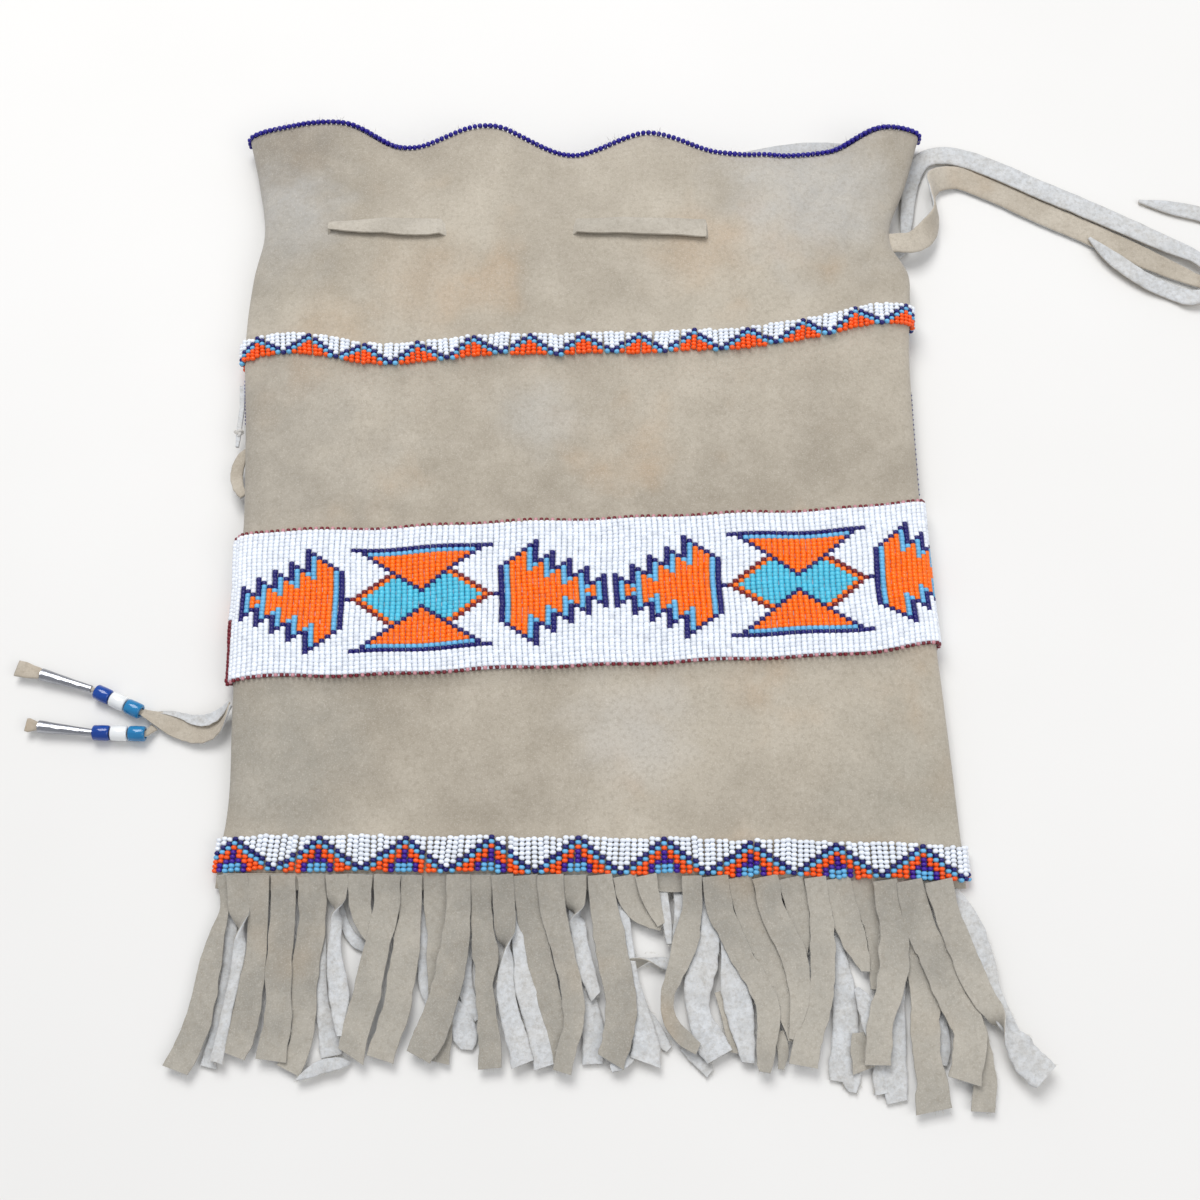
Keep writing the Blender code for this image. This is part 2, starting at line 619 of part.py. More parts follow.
def set_origin(bound):
    """Move everything so that the bag without its free thongs stands on the origin."""
    graph = bpy.context.evaluated_depsgraph_get()
    corners = []
    for item in bound:
        mesh = item.evaluated_get(graph).to_mesh()
        corners.extend(vertex.co.copy() for vertex in mesh.vertices)
    lowest = [min(corner[k] for corner in corners) for k in range(3)]
    highest = [max(corner[k] for corner in corners) for k in range(3)]
    frame = bpy.data.objects.new("bag_frame", None)
    BAG.objects.link(frame)
    for item in list(BAG.objects) + list(GUIDES.objects):
        if item != frame:
            item.parent = frame
    frame.location = (-(lowest[0] + highest[0]) / 2, -(lowest[1] + highest[1]) / 2, -lowest[2])


clear_scene()
BAG = make_collection("beaded_medicine_bag")
GUIDES = make_collection("cutters")
PAINTS = {
    "buckskin": make_material("buckskin", (0.55, 0.46, 0.34), 0.95),
    "leather": make_material("thong_leather", (0.60, 0.54, 0.45), 0.9),
    "indigo": make_material("indigo_beads", (0.03, 0.01, 0.30), 0.25),
    "white": make_material("white_beads", (0.80, 0.83, 0.88), 0.25),
    "teal": make_material("teal_crow_bead", (0.01, 0.22, 0.50), 0.15),
    "royal": make_material("royal_crow_bead", (0.0, 0.08, 0.50), 0.15),
    "tin": make_material("tin", (0.75, 0.75, 0.77), 0.25, 1.0),
}
make_hide(PAINTS["buckskin"])
make_edgings(PAINTS["indigo"])
make_band("lower_lane_band", (LOWER_START, LOWER_END), PAINTS["white"])
make_band("loom_band", (LOOM_START, LOOM_END), PAINTS["white"], LOOM_END_REACH)
make_band("upper_lane_band", (UPPER_START, UPPER_END), PAINTS["white"])
make_threaded_drawstring(PAINTS["leather"])
BOUND_PIECES = list(BAG.objects)
make_free_thongs(PAINTS)
set_origin(BOUND_PIECES)
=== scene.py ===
"""Beaded buckskin medicine bag lying on its back, in hide and glass beads round its solid parts."""

import math

import bmesh
import bpy
import numpy as np
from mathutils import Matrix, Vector, noise


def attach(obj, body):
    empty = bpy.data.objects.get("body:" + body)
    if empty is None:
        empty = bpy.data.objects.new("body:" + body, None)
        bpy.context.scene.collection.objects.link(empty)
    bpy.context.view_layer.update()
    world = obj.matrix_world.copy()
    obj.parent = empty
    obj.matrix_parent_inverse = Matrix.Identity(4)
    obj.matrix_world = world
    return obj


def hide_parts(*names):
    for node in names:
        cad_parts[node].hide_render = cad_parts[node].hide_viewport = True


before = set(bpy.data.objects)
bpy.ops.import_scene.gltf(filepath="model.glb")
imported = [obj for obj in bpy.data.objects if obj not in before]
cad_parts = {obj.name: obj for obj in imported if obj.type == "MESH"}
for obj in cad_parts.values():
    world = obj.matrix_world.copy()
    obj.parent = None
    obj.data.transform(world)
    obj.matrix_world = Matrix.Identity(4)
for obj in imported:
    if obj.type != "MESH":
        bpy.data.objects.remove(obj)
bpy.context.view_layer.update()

# Camera, above the fringe and tilted towards the mouth. Every length is in metres. Places on the bag
# are counted from the middle of its bottom seam, and BAG_PLACE carries them to the part's origin.
BAG_PLACE = np.array((-0.00792808, -0.11880517, 0.0))
CAMERA_PLACE = np.array((0.0075, -0.1223, 0.589))
CAMERA_TILT = 21.38
CAMERA_LENS = 51.0
camera_data = bpy.data.cameras.new("camera")
camera_data.lens = CAMERA_LENS
camera_data.sensor_width = 36.0
camera_data.clip_start = 0.01
camera_data.clip_end = 20.0
camera = bpy.data.objects.new("camera", camera_data)
bpy.context.scene.collection.objects.link(camera)
camera.location = CAMERA_PLACE + BAG_PLACE
camera.rotation_euler = (math.radians(CAMERA_TILT), 0.0, 0.0)
bpy.context.scene.camera = camera
bpy.context.scene.view_settings.view_transform = "Standard"


# Floor and lamps: a pale matt table top under a large soft lamp, with a weaker one across from it. The
# two classes build this and every other material from soft noise and simple sums.
class Finish:
    """A material while it is made: step() adds a node, and the Tones that it returns do sums."""

    def __init__(self, name, roughness=0.8, metallic=0.0, **constants):
        self.material = bpy.data.materials.new(name)
        self.material.use_nodes = True
        self.tree = self.material.node_tree
        self.shader = self.tree.nodes["Principled BSDF"]
        self.set(Roughness=roughness, Metallic=metallic)
        for socket, value in constants.items():
            self.shader.inputs[socket.replace("_", " ")].default_value = value

    def feed(self, socket, value):
        if isinstance(value, Tone):
            self.tree.links.new(value.socket, socket)
        else:
            socket.default_value = value

    def step(self, kind, settings=None, values=None, out=0):
        node = self.tree.nodes.new("ShaderNode" + kind)
        for name, value in (settings or {}).items():
            setattr(node, name, value)
        for name, value in (values or {}).items():
            self.feed(node.inputs[name], value)
        return Tone(self, node.outputs[out])

    def set(self, **values):
        for name, value in values.items():
            self.feed(self.shader.inputs[name.replace("_", " ")], value)

    def place(self):
        return self.step("TexCoord", out="Object")

    def cloud(self, scale, detail=3.0, rough=0.55, stretch=None):
        """Soft noise from 0 to 1."""
        where = self.place()
        if stretch:
            where = self.step("Mapping", {}, {"Vector": where, "Scale": stretch})
        values = {"Vector": where, "Scale": scale, "Detail": detail, "Roughness": rough}
        return self.step("TexNoise", {}, values)

    def mix(self, share, first, second):
        return self.step("Mix", {"data_type": "RGBA"}, {0: share, 6: first, 7: second}, out=2)

    def spot(self, place, radius):
        """1 at a place on the bag, fading unevenly to 0 a radius away."""
        there = tuple(np.array(place) + BAG_PLACE)
        away = self.step("VectorMath", {"operation": "DISTANCE"}, {0: self.place(), 1: there}, out="Value")
        return 1.0 - (away + (self.cloud(60.0, 3.0) - 0.5) * radius).rise(radius * 0.15, radius)

    def bump(self, height, distance):
        made = self.step("Bump", {}, {"Height": height, "Distance": distance, "Strength": 1.0})
        self.feed(self.shader.inputs["Normal"], made)


class Tone:
    """One socket of a material under construction, with the sums that shading needs."""

    def __init__(self, finish, socket):
        self.finish = finish
        self.socket = socket

    def sum(self, operation, first, second):
        return self.finish.step("Math", {"operation": operation}, {0: first, 1: second})

    def __add__(self, other):
        return self.sum("ADD", self, other)

    __radd__ = __add__

    def __sub__(self, other):
        return self.sum("SUBTRACT", self, other)

    def __rsub__(self, other):
        return self.sum("SUBTRACT", other, self)

    def __mul__(self, other):
        return self.sum("MULTIPLY", self, other)

    __rmul__ = __mul__

    def rise(self, low, high):
        """0 below low, 1 above high, and soft between them."""
        settings = {"interpolation_type": "SMOOTHSTEP"}
        return self.finish.step("MapRange", settings, {"Value": self, "From Min": low, "From Max": high})


def shade(red, green, blue):
    """Colour as it is seen on a screen, 0 to 255, turned into the light that a material reflects."""
    parts = [value / 255.0 for value in (red, green, blue)]
    return (*[v / 12.92 if v <= 0.04045 else ((v + 0.055) / 1.055) ** 2.4 for v in parts], 1.0)


FLOOR_SIZE = 6.0
FLOOR_HEIGHT = -0.0006
table_top = Finish("table_top", roughness=0.9)
table_top.set(Base_Color=table_top.mix(table_top.cloud(6.0), shade(226, 225, 222), shade(232, 231, 229)))
bpy.ops.object.select_all(action="DESELECT")
bpy.ops.mesh.primitive_plane_add(size=FLOOR_SIZE, location=(0.0, 0.0, FLOOR_HEIGHT))
floor = bpy.context.object
floor.name = "floor"
floor.data.materials.append(table_top.material)

world = bpy.data.worlds.new("studio")
world.use_nodes = True
world.node_tree.nodes["Background"].inputs["Color"].default_value = shade(235, 236, 240)
world.node_tree.nodes["Background"].inputs["Strength"].default_value = 0.55
bpy.context.scene.world = world
for lamp_name, lamp_place, lamp_size, lamp_power in (("main_lamp", (-0.30, 0.72, 1.35), 0.9, 17.0),
                                                     ("side_lamp", (0.75, -0.55, 1.2), 1.1, 6.5)):
    lamp_data = bpy.data.lights.new(lamp_name, "AREA")
    lamp_data.size = lamp_size
    lamp_data.energy = lamp_power
    lamp = bpy.data.objects.new(lamp_name, lamp_data)
    bpy.context.scene.collection.objects.link(lamp)
    lamp.location = lamp_place
    lamp.rotation_euler = (-Vector(lamp_place)).to_track_quat("-Z", "Y").to_euler()


# Tie thongs on the lower left: one strip of the same hide comes out of the seam, twists, and is split into
# two thin tails. Each tail is threaded with three crow beads and crimped into a tin cone near its end.
def blank_grid(name, across, along):
    """Flat grid to be laid into place; each vertex comes with its column and its row."""
    bpy.ops.object.select_all(action="DESELECT")
    bpy.ops.mesh.primitive_grid_add(x_subdivisions=across, y_subdivisions=along, size=2.0)
    piece = bpy.context.object
    piece.name = name
    piece.data.name = name
    spots = np.empty(len(piece.data.vertices) * 3)
    piece.data.vertices.foreach_get("co", spots)
    spots = spots.reshape(-1, 3)
    columns = np.rint((spots[:, 0] + 1.0) / 2.0 * across).astype(int)
    rows = np.rint((spots[:, 1] + 1.0) / 2.0 * along).astype(int)
    return piece, columns, rows


def lay(piece, points):
    piece.data.vertices.foreach_set("co", (np.asarray(points) + BAG_PLACE).astype(np.float32).ravel())
    piece.data.update()


def sew_shut(piece, gap=1e-6):
    """Join the meeting edges, close the open ends and turn the faces outwards."""
    form = bmesh.new()
    form.from_mesh(piece.data)
    bmesh.ops.remove_doubles(form, verts=form.verts, dist=gap)
    bmesh.ops.holes_fill(form, edges=[edge for edge in form.edges if edge.is_boundary], sides=0)
    bmesh.ops.recalc_face_normals(form, faces=form.faces)
    form.to_mesh(piece.data)
    form.free()


def pick(piece):
    """Select one piece alone and make it the active one."""
    bpy.ops.object.select_all(action="DESELECT")
    piece.select_set(True)
    bpy.context.view_layer.objects.active = piece


def dress(piece, finish, slot, *nodes, sharp=None):
    """Give a piece its finish and fasten it to the part."""
    piece.data.materials.clear()
    piece.data.materials.append(finish.material)
    pick(piece)
    if sharp is None:
        bpy.ops.object.shade_smooth()
    else:
        bpy.ops.object.shade_smooth_by_angle(angle=math.radians(sharp))
    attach(piece, "root")
    if nodes:
        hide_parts(*nodes)
    return piece


def unit(vectors):
    """Vectors in rows, each made one long."""
    return vectors / np.linalg.norm(vectors, axis=1)[:, None]


def marks_along(points):
    """Length along a line from its first point to each of its points."""
    return np.concatenate([[0.0], np.cumsum(np.linalg.norm(np.diff(points, axis=0), axis=1))])


def smooth_line(points, at):
    """Heights at places along the soft curve through (place, height) points."""
    places, heights = np.array(points, float).T
    slopes = np.empty(len(places))
    slopes[0] = (heights[1] - heights[0]) / (places[1] - places[0])
    slopes[-1] = (heights[-1] - heights[-2]) / (places[-1] - places[-2])
    slopes[1:-1] = (heights[2:] - heights[:-2]) / (places[2:] - places[:-2])
    at = np.clip(np.asarray(at, float), places[0], places[-1])
    i = np.clip(np.searchsorted(places, at) - 1, 0, len(places) - 2)
    width = places[i + 1] - places[i]
    t = (at - places[i]) / width
    return (heights[i] * (2 * t ** 3 - 3 * t ** 2 + 1) + heights[i + 1] * (3 * t ** 2 - 2 * t ** 3)
            + width * (slopes[i] * (t ** 3 - 2 * t ** 2 + t) + slopes[i + 1] * (t ** 3 - t ** 2)))


def follow(route, steps):
    """Smooth run of points through a route, a few to each span; every column of it is carried along."""
    route = np.array(route, float)
    marks = marks_along(route[:, :3])
    places = np.concatenate([np.linspace(a, b, steps, endpoint=False) for a, b in zip(marks, marks[1:])]
                            + [marks[-1:]])
    return np.stack([smooth_line(np.stack([marks, column], 1), places) for column in route.T], 1)


THONG = 0.0013
THONG_SECTION = np.array(((-1.0, 0.0), (-0.97, 0.7), (-0.8, 1.0), (-0.3, 1.0), (0.3, 1.0), (0.8, 1.0),
                          (0.97, 0.7), (1.0, 0.0), (0.97, -0.7), (0.8, -1.0), (0.0, -1.0), (-0.8, -1.0),
                          (-0.97, -0.7)))


def cut_thong(name, route, steps=8, cup=0.0, thickness=THONG, ragged=0.04, seed=0, flesh_up=False,
              slant=0.0):
    """Strip of hide through x, y, z, width and tilt in degrees.

    A cup bends its edges up, and a slant cuts its tip askew.
    """
    points = follow(route, steps)
    centres = points[:, :3]
    along = unit(np.gradient(centres, axis=0))
    level = np.stack([-along[:, 1], along[:, 0], np.zeros(len(along))], 1)
    level /= np.maximum(np.linalg.norm(level, axis=1)[:, None], 1e-9)
    up = np.cross(along, level)
    tilt = np.radians(points[:, 4])[:, None]
    side = level * np.cos(tilt) + up * np.sin(tilt)
    face = np.cross(along, side)
    piece, columns, rows = blank_grid(name, len(THONG_SECTION), len(points) - 1)
    section = THONG_SECTION[columns % len(THONG_SECTION)]
    rough = np.array([noise.noise(Vector((row * 0.35, 3.0 * np.sign(end), seed)))
                      for row, end in zip(rows, section[:, 0])])
    half = points[rows, 3] / 2 * (1 + ragged * rough)
    across = (section[:, 0] * half)[:, None] * side[rows]
    lift = section[:, 1] * thickness / 2 + cup * section[:, 0] ** 2
    skew = slant * section[:, 0] * half * np.clip(1 - (len(points) - 1 - rows) * 0.4, 0, 1)
    spots = centres[rows] + across + lift[:, None] * face[rows] + skew[:, None] * along[rows]
    spots[:, 2] = np.maximum(spots[:, 2], 0.0)
    lay(piece, spots)
    side_up = 0.5 - section[:, 1] / 2 if not flesh_up else 0.5 + section[:, 1] / 2
    flesh = piece.data.attributes.new("flesh", "FLOAT", "POINT")
    flesh.data.foreach_set("value", side_up.astype(np.float32))
    sew_shut(piece)
    return piece, centres + BAG_PLACE


def length_of(line):
    return float(np.linalg.norm(np.diff(line, axis=0), axis=1).sum())


NAP_DEPTH = 0.00014


def hide_finish(name, dark, light, stain, flesh=None, patch=9.0, spots=()):
    """Smoked hide with rubbed patches, faint stains, a short nap, and the flesh side where it turns up."""
    hide = Finish(name, roughness=0.95, Sheen_Weight=0.2, Sheen_Roughness=0.6)
    mottle = hide.cloud(70.0, 5.0, 0.75)
    grain = hide.cloud(650.0, 3.0, 0.7)
    nap_noise = hide.cloud(1900.0, 2.0, 0.7)
    colour = hide.mix(hide.cloud(patch, 4.0, 0.6).rise(0.36, 0.66), dark, light)
    colour = hide.mix(hide.cloud(23.0, 3.0).rise(0.56, 0.76) * 0.42, colour, stain)
    # Spots from a table are mixed in: on the pouch, stains, pale spots and painted shade near the sides
    for place, radius, tone, strength in spots:
        colour = hide.mix(hide.spot(place, radius) * strength, colour, tone)
    if flesh:
        turned_up = hide.step("Attribute", {"attribute_name": "flesh"}, out="Fac").rise(0.35, 0.65)
        fibres = hide.cloud(240.0, 5.0, 0.8)
        colour = hide.mix(turned_up, colour, hide.mix(fibres.rise(0.3, 0.7), *flesh))
    colour = hide.mix(mottle.rise(0.35, 0.75) * 0.30, colour, shade(200, 192, 178))
    colour = hide.mix(grain.rise(0.42, 0.72) * 0.30, colour, shade(130, 120, 104))
    colour = hide.mix(nap_noise.rise(0.5, 0.75) * 0.26, colour, shade(224, 218, 208))
    hide.set(Base_Color=colour)
    hide.bump(mottle * 0.4 + grain * 0.9 + nap_noise * 0.5, NAP_DEPTH)
    return hide


THONG_PATCH = 30.0
FLESH_TONES = (shade(184, 186, 187), shade(209, 212, 215))
# Stains, rubbed pale spots and painted shade of the hide (the grey spots near the left and right sides):
# place, radius, colour and strength
HIDE_STAINS_AND_SHADE = (((-0.1201, 0.2928, 0.010), 0.030, shade(160, 140, 116), 0.6),
              ((-0.1250, 0.2860, 0.010), 0.050, shade(132, 128, 120), 0.8),
              ((-0.1200, 0.1650, 0.010), 0.075, shade(140, 135, 126), 0.5),
              ((-0.0600, 0.2330, 0.018), 0.032, shade(182, 156, 126), 0.28),
              ((-0.0963, 0.2128, 0.016), 0.026, shade(182, 158, 128), 0.4),
              ((-0.1180, 0.2640, 0.012), 0.034, shade(188, 187, 184), 0.6),
              ((0.0914, 0.2780, 0.016), 0.050, shade(180, 180, 178), 0.6),
              ((-0.0152, 0.1750, 0.018), 0.022, shade(182, 180, 174), 0.5),
              ((0.0181, 0.0536, 0.014), 0.030, shade(186, 184, 180), 0.45),
              ((-0.1100, 0.0450, 0.008), 0.050, shade(150, 147, 138), 0.6),
              ((-0.1260, 0.2450, 0.008), 0.040, shade(146, 140, 128), 0.5),
              ((0.1180, 0.0300, 0.008), 0.045, shade(154, 150, 138), 0.5),
              ((0.0428, 0.2487, 0.018), 0.026, shade(182, 156, 126), 0.4))
suede = hide_finish("smoked_suede", shade(155, 146, 131), shade(179, 170, 154), shade(182, 154, 122),
                    flesh=FLESH_TONES, spots=HIDE_STAINS_AND_SHADE)
thong_suede = hide_finish("thong_suede", shade(168, 158, 142), shade(190, 181, 166), shade(186, 160, 130),
                          flesh=FLESH_TONES, patch=THONG_PATCH)
slit_thong = hide_finish("slit_thong", shade(164, 157, 144), shade(186, 179, 166), shade(182, 160, 134),
                         patch=THONG_PATCH)
pale_thong = hide_finish("pale_thong", shade(190, 188, 184), shade(206, 205, 202), shade(196, 186, 172),
                         flesh=FLESH_TONES, patch=THONG_PATCH)

TIE_STEM = ((-0.1254, 0.0655, 0.0054, 0.0035, 72), (-0.1272, 0.0622, 0.0046, 0.0060, 52),
            (-0.1303, 0.0588, 0.0034, 0.0088, 25), (-0.1337, 0.0570, 0.0024, 0.0094, 8),
            (-0.1377, 0.0568, 0.0020, 0.0096, 0), (-0.1418, 0.0580, 0.0018, 0.0094, -4),
            (-0.1459, 0.0594, 0.0018, 0.0090, 0), (-0.1503, 0.0608, 0.0021, 0.0066, 0),
            (-0.1540, 0.0620, 0.0026, 0.0042, 0), (-0.1574, 0.0634, 0.0031, 0.0026, 0))
TURNED_EDGE = ((-0.1258, 0.0664, 0.0062, 0.0016, 60), (-0.1274, 0.0638, 0.0060, 0.0028, 30),
               (-0.1306, 0.0613, 0.0050, 0.0040, 10), (-0.1346, 0.0602, 0.0038, 0.0044, 0),
               (-0.1388, 0.0606, 0.0032, 0.0036, 0), (-0.1427, 0.0620, 0.0028, 0.0024, 0),
               (-0.1470, 0.0632, 0.0026, 0.0018, 0), (-0.1510, 0.0636, 0.0026, 0.0008, 0))
# Start, first bead, cone, mouth of the cone and tip of each tail
TAILS = {"first_tail": ((-0.1507, 0.0625), (-0.1580, 0.0636), (-0.1769, 0.0724), (-0.1957, 0.0781),
                        (-0.2050, 0.0805)),
         "second_tail": ((-0.1532, 0.0583), (-0.1556, 0.0555), (-0.1750, 0.0560), (-0.1943, 0.0583),
                         (-0.1990, 0.0589))}
TAIL_CUT_WIDTH = {"first_tail": 0.006, "second_tail": 0.005}
TIE_HEIGHT = 0.0029
CROW_BEAD_RADIUS = 0.0028
CROW_BEAD_HOLE = 0.0016
CROW_BEAD_LENGTH = 0.0061
CROW_BEAD_PITCH = 0.00645
CONE_LENGTH = 0.0195
CONE_NARROW = 0.0013
CONE_MOUTH = 0.0023
CONE_WALL = 0.0004


def turned(name, profile, steps, place, direction, wobble=None):
    """Ring of a closed profile of (radius, height) points, turned about the direction through the place."""
    direction = np.array(direction) / np.linalg.norm(direction)
    side = np.cross(direction, (0.0, 0.0, 1.0))
    side /= np.linalg.norm(side)
    top = np.cross(side, direction)
    piece, columns, rows = blank_grid(name, len(profile), steps)
    spots = np.array(profile)[columns % len(profile)]
    angle = 2 * math.pi * (rows % steps) / steps
    radius = spots[:, 0]
    if wobble:
        radius = radius * (1 + wobble(angle, spots[:, 1]))
    ring = side * (np.cos(angle) * radius)[:, None] + top * (np.sin(angle) * radius)[:, None]
    lay(piece, np.array(place) + ring + direction * spots[:, 1:2])
    sew_shut(piece, 1e-7)
    return piece


def glass_finish(name, colour, deep):
    glass = Finish(name, roughness=0.12, Coat_Weight=0.3)
    streak = glass.cloud(380.0, 3.0, 0.6, stretch=(0.25, 1.0, 1.0))
    glass.set(Base_Color=glass.mix(streak.rise(0.35, 0.75) * 0.6, colour, deep))
    glass.bump(glass.cloud(900.0), 0.00003)
    return glass


crow_glass = {"teal": glass_finish("teal_glass", shade(26, 124, 178), shade(16, 92, 146)),
              "white": glass_finish("white_glass", shade(236, 238, 238), shade(218, 222, 226)),
              "royal": glass_finish("royal_glass", shade(2, 66, 156), shade(0, 42, 118))}
tin = Finish("rolled_tin", roughness=0.22, metallic=1.0)
tin_scratch = tin.cloud(700.0, 4.0, 0.7, stretch=(0.15, 1.0, 1.0))
tin.set(Base_Color=tin.mix(tin_scratch.rise(0.4, 0.7) * 0.35, shade(176, 178, 184), shade(104, 106, 114)))
tin.set(Roughness=tin_scratch * 0.25 + 0.14)
tin.bump(tin.cloud(260.0, 3.0) + tin_scratch * 0.3, 0.00012)


def cone_dents(angle, height):
    """A rolled cone has a raised overlap down one side and shallow dents where it was crimped."""
    seam = 0.10 * np.clip(1 - np.abs(((angle - 1.3 + math.pi) % (2 * math.pi)) - math.pi) / 0.35, 0, 1)
    crimp = 0.05 * np.cos(2 * angle + 0.6) * np.clip(height / CONE_LENGTH + 0.5, 0, 1)
    return seam + crimp + 0.02 * np.sin(3 * angle + 900 * height)


half = CROW_BEAD_LENGTH / 2
chamfer = CROW_BEAD_LENGTH / 8
rounded = [(CROW_BEAD_RADIUS - chamfer * (1 - math.sin(a)), half - chamfer * (1 - math.cos(a)))
           for a in (0.1, 0.5, 0.9, 1.3)]
bead_profile = ([(CROW_BEAD_HOLE, half - 0.0003), (CROW_BEAD_HOLE + 0.0002, half)] + rounded
                + [(CROW_BEAD_RADIUS * 1.01, 0.0)] + [(r, -h) for r, h in rounded[::-1]]
                + [(CROW_BEAD_HOLE + 0.0002, -half), (CROW_BEAD_HOLE, 0.0003 - half)])
cone_outside = [(CONE_NARROW + (CONE_MOUTH - CONE_NARROW) * (0.5 - h) ** 1.3, h * CONE_LENGTH)
                for h in np.linspace(0.5, -0.5, 9)]
cone_profile = cone_outside + [(r - CONE_WALL, h) for r, h in cone_outside[::-1]]
for tail, spots in TAILS.items():
    start, bead_start, cone_start, cone_end, end = [np.array((*spot, TIE_HEIGHT)) for spot in spots]
    start[2] = THONG
    run = (cone_start - bead_start) / np.linalg.norm(cone_start - bead_start)
    for i, colour in enumerate(crow_glass):
        place = bead_start + run * (CROW_BEAD_PITCH * (i + 0.5) - 0.0001)
        node = f"{tail}_{colour}_bead"
        bead = turned(node + "_glass", bead_profile, 28, place, run)
        dress(bead, crow_glass[colour], f"{colour}_glass", node)
    run = (cone_end - cone_start) / np.linalg.norm(cone_end - cone_start)
    cone = turned(tail + "_tin_cone", cone_profile, 30, (cone_start + cone_end) / 2, -run, cone_dents)
    dress(cone, tin, "tin", tail + "_cone", sharp=35)
    flare = cone_end + run * 0.0012
    cut = TAIL_CUT_WIDTH[tail]
    route = [(*start, 0.0030, 0), (*(start * 0.4 + bead_start * 0.6), 0.0024, 0), (*bead_start, 0.0021, 0),
             (*(bead_start * 0.5 + cone_start * 0.5), 0.0021, 0), (*cone_start, 0.0016, 0),
             (*(cone_start * 0.5 + cone_end * 0.5), 0.0020, 0), (*cone_end, 0.0032, 0),
             (*flare, cut * 0.72, 4), (*(flare * 0.4 + end * 0.6), cut * 0.98, -3), (*end, cut, 0)]
    thong, line = cut_thong(tail + "_hide", route, steps=4, ragged=0.08, seed=5 + len(tail))
    dress(thong, thong_suede, "thong_leather", tail + "_thong")
    length_of(line)

edge = cut_thong("turned_edge", TURNED_EDGE, steps=8, cup=0.0003, thickness=0.0010, ragged=0.16, seed=8,
                 flesh_up=True)[0]
dress(edge, thong_suede, "thong_leather", sharp=60)
stem, line = cut_thong("lower_tie_stem_hide", TIE_STEM, steps=8, cup=0.0005, ragged=0.06, seed=3)
dress(stem, thong_suede, "thong_leather", "lower_tie_stem", sharp=60)
length_of(line)

# Drawstring ends on the right: both ends of one long thong leave the bag, lie across the table and are
# tied in an overhand knot, past which two pointed tails stick out. The back one shows its flesh side.
FRONT_STRAP = ((0.1212, 0.2580, 0.0084, 0.008, 0), (0.1262, 0.2582, 0.0086, 0.0086, 2),
               (0.1325, 0.2588, 0.0080, 0.0092, 5),
               (0.1385, 0.2640, 0.0066, 0.0096, 28), (0.1432, 0.2735, 0.0062, 0.0092, 68),
               (0.1424, 0.2830, 0.0058, 0.0092, 72), (0.1445, 0.2905, 0.0044, 0.0096, 34),
               (0.1540, 0.2938, 0.0016, 0.0104, 4), (0.1674, 0.2885, 0.0011, 0.0106, 0),
               (0.1843, 0.2789, 0.0011, 0.0106, 0), (0.2012, 0.2699, 0.0011, 0.0104, 0),
               (0.2176, 0.2610, 0.0011, 0.0100, 0), (0.2344, 0.2515, 0.0012, 0.0086, 0),
               (0.2486, 0.2440, 0.0014, 0.0054, 0))
BACK_STRAP = ((0.1259, 0.2580, 0.00095, 0.006, 0), (0.1285, 0.2584, 0.00095, 0.004, 0),
              (0.1306, 0.2620, 0.0009, 0.0035, 0), (0.1320, 0.2720, 0.0009, 0.005, 0),
              (0.1335, 0.2830, 0.0009, 0.006, 0), (0.1355, 0.2930, 0.0009, 0.007, 0),
              (0.1410, 0.3030, 0.0010, 0.0075, 0), (0.1520, 0.3048, 0.0015, 0.0088, -4),
              (0.1685, 0.2980, 0.0023, 0.0092, -6), (0.1860, 0.2884, 0.0024, 0.0092, -6),
              (0.2030, 0.2796, 0.0024, 0.0092, -6), (0.2200, 0.2704, 0.0024, 0.0088, -5),
              (0.2365, 0.2611, 0.0026, 0.0078, -4), (0.2460, 0.2550, 0.0038, 0.006, 0),
              (0.2520, 0.2478, 0.0052, 0.005, 0))
LOW_TAIL = ((0.2490, 0.2370, 0.0040, 0.005, 0), (0.2430, 0.2368, 0.0022, 0.007, 0),
            (0.2360, 0.2400, 0.0010, 0.007, 0), (0.2250, 0.2452, 0.0024, 0.007, 0),
            (0.2130, 0.2550, 0.0031, 0.006, 0), (0.2050, 0.2640, 0.0030, 0.0012, 0))
HIGH_TAIL = ((0.2604, 0.2464, 0.0050, 0.005, 0), (0.2640, 0.2560, 0.0018, 0.007, 0),
             (0.2632, 0.2680, 0.0009, 0.007, 0), (0.2550, 0.2755, 0.0009, 0.007, 0),
             (0.2400, 0.2800, 0.0009, 0.006, 0), (0.2278, 0.2830, 0.0009, 0.0012, 0))
KNOT_PLACE = np.array((0.2560, 0.2405, 0.0046))
KNOT_HALF = np.array((0.0050, 0.0042, 0.0024))


def knot_route(place, spread, half, points, turns, start, width, lean):
    """Route of an overhand knot round its place."""
    route = []
    for i in range(points + 1):
        turn = i / points * turns * math.pi + start
        loop = (math.sin(turn) + 1.6 * math.sin(2 * turn), math.cos(turn) - 1.6 * math.cos(2 * turn),
                -math.sin(3 * turn))
        route.append((*(place + np.array(loop) / spread * half), width, lean * math.sin(1.5 * turn)))
    return route


